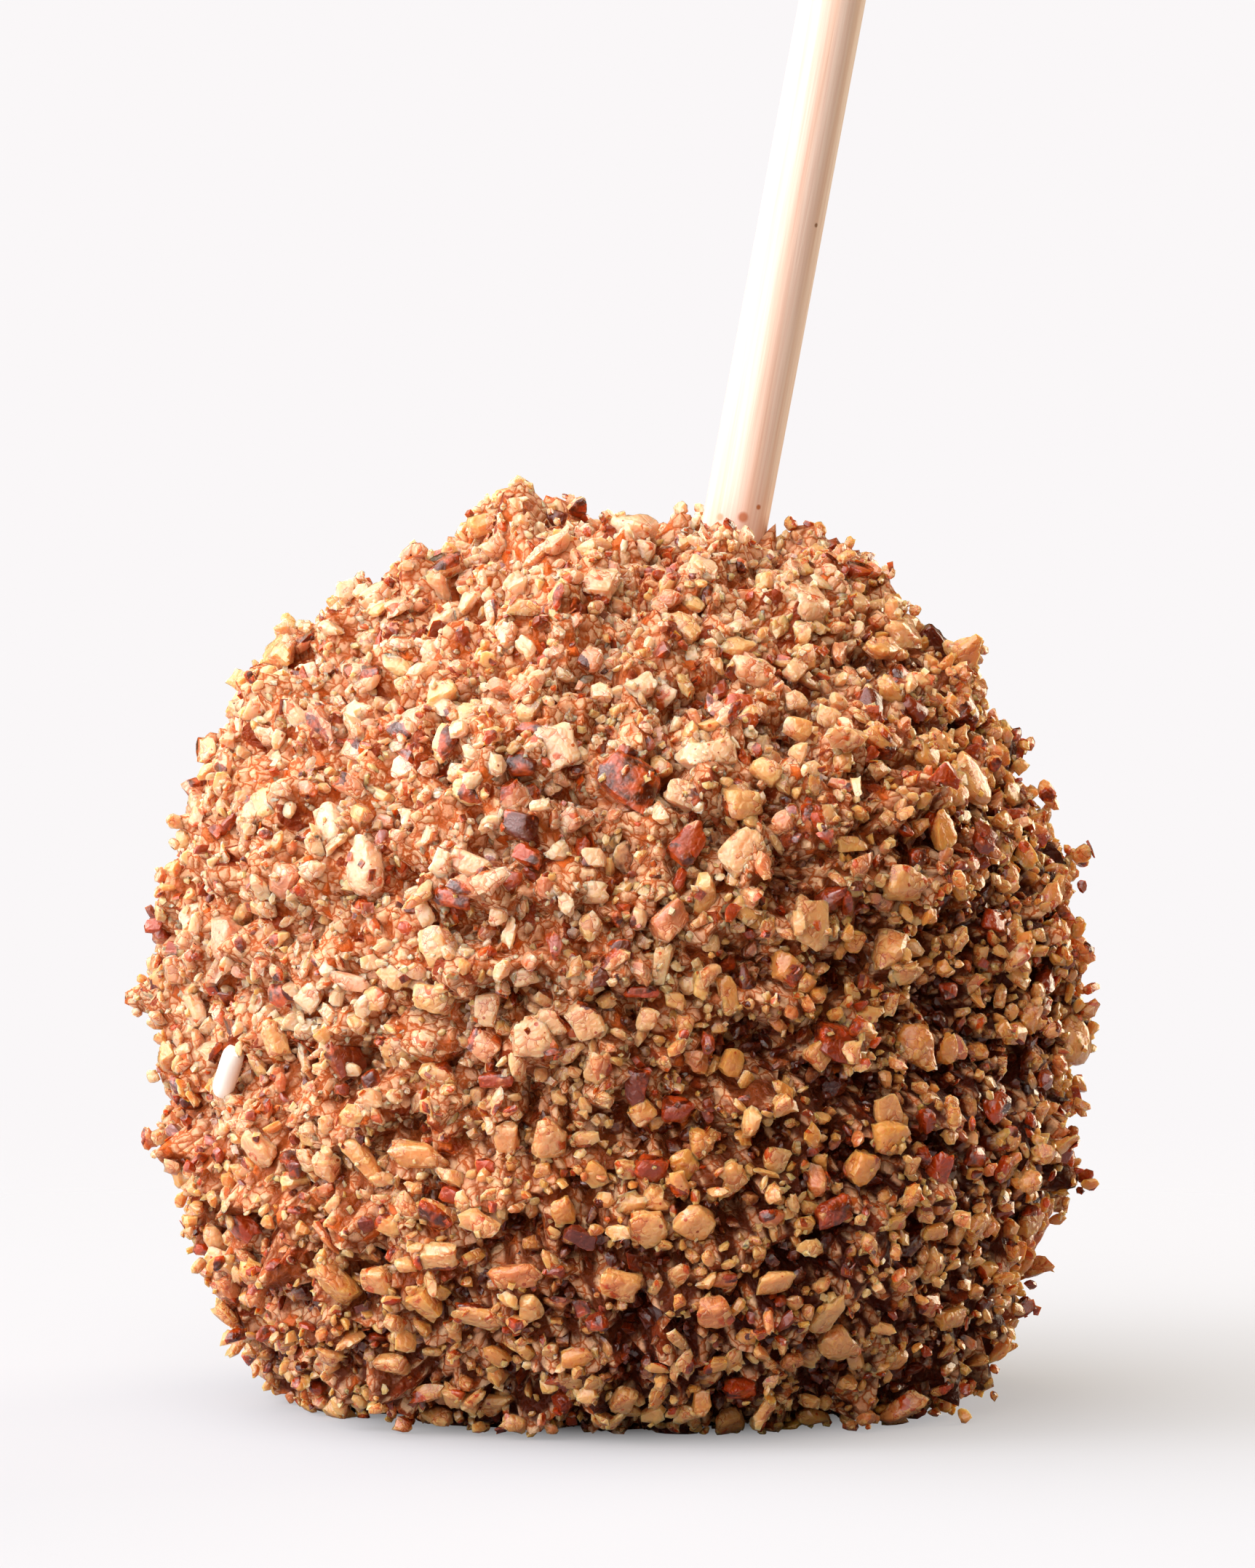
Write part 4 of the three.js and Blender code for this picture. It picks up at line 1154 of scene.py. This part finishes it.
# %% Make the crumbs and the flakes
CRUMB_SIZES, FLAKE_SIZES = (0.55, 1.25), (0.9, 2.2)
CRUMB_THIN, FLAKE_THIN = 0.8, 0.16
FLAKES = int(900 * scale)
SCRAP_CUTS = 1


def make_scraps(name, kind, places, facing, sizes, thin):
    """thin is how thick a bit is for its length. Thin ones are flakes of skin, and lie flat."""
    count, flake = len(places), thin < 0.5
    size = sizes[0] + (sizes[1] - sizes[0]) * draws.random(count) ** 1.5
    size *= 1 + 0.5 * coat_marks(places)["sunk"]
    wide = draws.uniform(0.55, 0.95, count)
    sizes = size[:, None] * np.stack([np.ones(count), wide, np.full(count, thin)], 1)
    shape = knocked_shapes(SCRAP_CUTS, draws.random((count, 8, 3)) * 0.6, 8.0)
    shape = cleave(shape, 2, 0.5, 0.9)
    frames = random_frames(facing, 2.5 if flake else 1.2)
    points = placed(shape, sizes, frames, places + facing * (0.25 * size * thin)[:, None])
    marks = {"tone": shared_tone(places, 0.25), "skin": skin_marks(shape, SKIN_SHARES[kind], 0.3)}
    marks |= coat_marks(points)
    piece = joined_mesh(name, points, SCRAP_CUTS, marks)
    dress(piece, FINISHES[kind], "coated_apple")


kinds = shared_kind(places[FLAKES:], KIND_SHARES)
for i, kind in enumerate(FINISHES):
    chosen = FLAKES + np.flatnonzero(kinds == i)
    make_scraps(f"{kind}_crumbs", kind, places[chosen], facing[chosen], CRUMB_SIZES, CRUMB_THIN)
make_scraps("skin_flakes", "skin", places[:FLAKES], facing[:FLAKES], FLAKE_SIZES, FLAKE_THIN)

# %% [markdown]
# ## One strand of sugar
#
# A white sugar strand has stuck to the left side, one stray sprinkle among the nuts. It is an
# extruded rod, cut while soft, so it is a short rod with blunt ends.

# %% Make the strand
STRAND_CUTS = 10


def make_strand():
    points = cube_grid(STRAND_CUTS)[0]
    square, circle = np.abs(points[:, 1:]).max(1), np.hypot(points[:, 1], points[:, 2])
    rounded = np.where(circle > 0, square / np.maximum(circle, 1e-9), 1)
    narrowed = rounded * (1 - 0.22 * np.abs(points[:, 0]) ** 8)
    shape = points * np.stack([np.ones(len(points)), narrowed, narrowed], 1)
    across = unit(np.cross(STRAND_AT, STRAND_ALONG))
    frame = np.stack([STRAND_ALONG, across, np.cross(STRAND_ALONG, across)], 1)
    places = placed(shape[None], np.array([STRAND_SIZE]), frame, STRAND_ORIGIN)
    return joined_mesh("sugar_strand", places, STRAND_CUTS, {})


def sugar_material():
    material, tree, shader, places = start_material("white sugar")
    connect(tree, shader, {
        "Base Color": colour(250, 244, 238),
        "Roughness": 0.35,
        "Normal": bumps(tree, space_noise(tree, places, 0.5), 0.3, 0.05),
        "Subsurface Weight": 0.2,
        "Subsurface Radius": (1.0, 0.9, 0.8),
        "Subsurface Scale": 0.4 * MM,
    })
    return material


dress(make_strand(), sugar_material(), "coated_apple")

# %% [markdown]
# ## The stick
#
# A plain round dowel of pale wood, the kind sold for such apples. A cylinder would do for its
# form, but it would look turned from plastic: a real dowel has fine grain along it, its ends
# have a worn edge, and syrup and pores have left small marks on it. So it is lathed from rings,
# each moved a hair, and its mesh holds where each point was in the straight dowel, so that
# grain and marks follow the wood.

# %% Make the stick
STICK_SIDES, STICK_RINGS = 72, 60
STICK_WORN, STICK_FURROW = 0.5, 0.02


def stick_profile():
    """Height along the stick and radius of each ring, with a rounded edge at both ends."""
    bend = np.linspace(0, math.pi / 2, 6)
    bottom = [(STICK_WORN * (1 - math.cos(b)), STICK_RADIUS - STICK_WORN * (1 - math.sin(b))) for b in bend]
    body = [(h, STICK_RADIUS) for h in np.linspace(0, STICK_LENGTH, STICK_RINGS)[1:-1]]
    top = [(STICK_LENGTH - h, r) for h, r in reversed(bottom)]
    return np.array(bottom + body + top)


def make_stick():
    profile = stick_profile()
    turn = np.arange(STICK_SIDES) / STICK_SIDES * 2 * math.pi
    side = np.array([STICK_AXIS[2], 0, -STICK_AXIS[0]])
    back = np.cross(STICK_AXIS, side)
    around = np.cos(turn)[:, None] * side + np.sin(turn)[:, None] * back
    height, radius = profile[:, 0], profile[:, 1]
    upward = np.repeat(height[:, None], STICK_SIDES, 1)
    own = np.stack([np.outer(radius, np.cos(turn)), np.outer(radius, np.sin(turn)), upward], 2)
    furrows = STICK_FURROW * lattice_noise(own * (2.2, 2.2, 0.05), 9)
    outward = (radius[:, None] + furrows - STICK_FURROW)[..., None] * around
    places = STICK_TIP + height[:, None, None] * STICK_AXIS + outward
    places = places.reshape(-1, 3)
    rings = len(profile)
    ends = [STICK_TIP, STICK_TIP + STICK_LENGTH * STICK_AXIS]
    faces = []
    for ring in range(rings - 1):
        for i in range(STICK_SIDES):
            after = (i + 1) % STICK_SIDES
            low, high = ring * STICK_SIDES, (ring + 1) * STICK_SIDES
            faces.append((low + i, low + after, high + after, high + i))
    tip, top = len(places), len(places) + 1
    last = (rings - 1) * STICK_SIDES
    for i in range(STICK_SIDES):
        after = (i + 1) % STICK_SIDES
        faces.append((tip, after, i))
        faces.append((top, last + i, last + after))
    mesh = bpy.data.meshes.new("round_stick")
    mesh.from_pydata((np.vstack([places, ends]) * MM).tolist(), [], faces)
    own = np.vstack([own.reshape(-1, 3), (0, 0, 0), (0, 0, STICK_LENGTH)]).astype(np.float32)
    mesh.attributes.new("grain", "FLOAT_VECTOR", "POINT").data.foreach_set("vector", own.ravel())
    mesh.shade_smooth()
    mesh.set_sharp_from_angle(angle=SHARP)
    print("round_stick:", len(faces), "faces")
    return add_object("round_stick", mesh)


# %% The look of the stick
WOOD_PALE, WOOD_GRAIN, WOOD_BAND = colour(248, 219, 206), colour(240, 203, 188), colour(250, 238, 228)

# Small marks, in the stick's own millimetres: place, radius and shade.
STICK_MARKS = [
    ((2.4, -2.08, 89.2), 0.30, colour(150, 96, 60)), ((0.6, -3.12, 60.4), 0.7, colour(206, 130, 96)),
    ((-1.6, -2.74, 60.0), 0.5, colour(226, 168, 136)), ((1.9, -2.54, 61.6), 0.35, colour(196, 116, 70)),
]


def stick_material():
    material, tree, shader, _ = start_material("pale dowel")
    own = mark(tree, "grain", "Vector")
    inputs = {"Vector": own, "Scale": (1.0, 1.0, 0.02)}
    long = add_node(tree, "ShaderNodeMapping", {}, inputs).outputs[0]
    streaks = noise_of(tree, long, 3.5, 4.0)
    bands = noise_of(tree, long, 0.7, 1.0)
    wood = mix_colours(tree, ramp(tree, streaks, 0.35, 0.70), WOOD_PALE, WOOD_GRAIN)
    wood = mix_colours(tree, ramp(tree, bands, 0.45, 0.75), wood, WOOD_BAND, "MULTIPLY")
    for place, size, shade in STICK_MARKS:
        away = on_vectors(tree, "DISTANCE", {0: own, 1: place}, "Value")
        wood = mix_colours(tree, ramp(tree, away, size, size * 0.4), wood, shade)
    connect(tree, shader, {
        "Base Color": wood,
        "Roughness": map_range(tree, streaks, 0.0, 1.0, 0.45, 0.65),
        "Normal": bumps(tree, noise_of(tree, long, 9.0, 2.0), 0.35, 0.05),
    })
    return material


stick = make_stick()
dress(stick, stick_material(), "stick")

# %% [markdown]
# ## Floor, light and camera
#
# The apple stands on white paper in front of white, with a soft window of light from the
# upper left and a wall that throws light back from behind on the right. The floor fades into
# the world's own white with distance, so that no horizon shows from any side. Real white paper
# would need so much light that the nuts would bleach, so this one is grey, with a glow of its
# own that only the camera sees. The world does the same: it lights the apple from the window's
# side, yellower away from it, and shows the camera plain white.

# %% The floor
WHITE = colour(250, 247, 248)
PAPER, PAPER_GLOW = colour(146, 148, 154), 0.42

# In metres: half the floor's width, where the glow starts and is full, and where it fades away. Near the
# apple the paper gets no glow, which paints a darker shadow round its foot.
FLOOR_REACH = 0.9
GLOW_FROM, GLOW_FULL = 0.016, 0.034
FADE_FROM, FADE_FULL = 0.09, 0.32


def make_floor():
    mesh = bpy.data.meshes.new("paper")
    corners = [(x * FLOOR_REACH, y * FLOOR_REACH, 0) for x, y in ((-1, -1), (1, -1), (1, 1), (-1, 1))]
    mesh.from_pydata(corners, [], [(0, 1, 2, 3)])
    material, tree, shader, places = start_material("white paper")
    away = on_vectors(tree, "LENGTH", {0: places}, "Value")
    seen = add_node(tree, "ShaderNodeLightPath", {}, {}).outputs["Is Camera Ray"]
    connect(tree, shader, {
        "Base Color": PAPER,
        "Roughness": 0.85,
        "Specular IOR Level": 0.2,
        "Emission Color": WHITE,
        "Emission Strength": product_of(tree, ramp(tree, away, GLOW_FROM, GLOW_FULL, PAPER_GLOW), seen),
    })
    clear = add_node(tree, "ShaderNodeBsdfTransparent", {}, {}).outputs[0]
    inputs = {0: ramp(tree, away, FADE_FROM, FADE_FULL), 1: shader.outputs[0], 2: clear}
    fade = add_node(tree, "ShaderNodeMixShader", {}, inputs)
    tree.links.new(fade.outputs[0], tree.nodes["Material Output"].inputs["Surface"])
    mesh.materials.append(material)
    return add_object("paper", mesh)


make_floor()

# %% The light
KEY_TOWARDS = unit(np.array([-0.74, -0.32, 0.61]))
KEY_SIZE, KEY_POWER = 0.55, 4.3
RIM_TOWARDS, RIM_SIZE, RIM_POWER = unit(np.array([0.80, 0.58, 0.22])), 0.8, 12.0
LIGHT_DISTANCE = 1.2
AMBIENT_LOW, AMBIENT_HIGH = 0.03, 3.75
AMBIENT_FAR, AMBIENT_NEAR = colour(255, 217, 92), colour(250, 249, 250)


def aim(thing, place, target):
    thing.location = place
    thing.rotation_euler = (Vector(target) - Vector(place)).to_track_quat("-Z", "Y").to_euler()


def make_light(name, towards, size, power, tint):
    light = bpy.data.lights.new(name, "AREA")
    light.shape = "SQUARE"
    light.size = size
    light.energy = power
    light.color = tint[:3]
    middle = CENTRE * MM
    aim(add_object(name, light), middle + towards * LIGHT_DISTANCE, middle)


def make_world():
    world = bpy.data.worlds.new("white room")
    world.use_nodes = True
    bpy.context.scene.world = world
    tree = world.node_tree
    seen = add_node(tree, "ShaderNodeBackground", {}, {"Color": WHITE, "Strength": 1.0}).outputs[0]
    outward = add_node(tree, "ShaderNodeTexCoord", {}, {}).outputs["Generated"]
    facing = on_vectors(tree, "DOT_PRODUCT", {0: outward, 1: Vector(KEY_TOWARDS)}, "Value")
    strength = sum_of(tree, AMBIENT_LOW, ramp(tree, facing, -0.05, 1.1), AMBIENT_HIGH - AMBIENT_LOW)
    tint = mix_colours(tree, ramp(tree, facing, -0.1, 0.8), AMBIENT_FAR, AMBIENT_NEAR)
    lit = add_node(tree, "ShaderNodeBackground", {}, {"Color": tint, "Strength": strength}).outputs[0]
    path = add_node(tree, "ShaderNodeLightPath", {}, {}).outputs["Is Camera Ray"]
    both = add_node(tree, "ShaderNodeMixShader", {}, {0: path, 1: lit, 2: seen})
    tree.links.new(both.outputs[0], tree.nodes["World Output"].inputs["Surface"])


make_light("window", KEY_TOWARDS, KEY_SIZE, KEY_POWER, colour(250, 249, 252))
make_light("wall", RIM_TOWARDS, RIM_SIZE, RIM_POWER, colour(255, 240, 212))
make_world()
bpy.context.scene.view_settings.view_transform = "Standard"

# %% The camera
CAMERA_PLACE = np.array([0.32, -860.0, 110.0]) * MM
CAMERA_TARGET = np.array([0.32, 0.0, 59.9]) * MM
CAMERA_LENS, SENSOR_HEIGHT = 204.8, 36.0


def make_camera():
    lens = bpy.data.cameras.new("view")
    lens.sensor_fit = "VERTICAL"
    lens.sensor_height = SENSOR_HEIGHT
    lens.lens = CAMERA_LENS
    camera = add_object("view", lens)
    aim(camera, CAMERA_PLACE, CAMERA_TARGET)
    bpy.context.scene.camera = camera


make_camera()
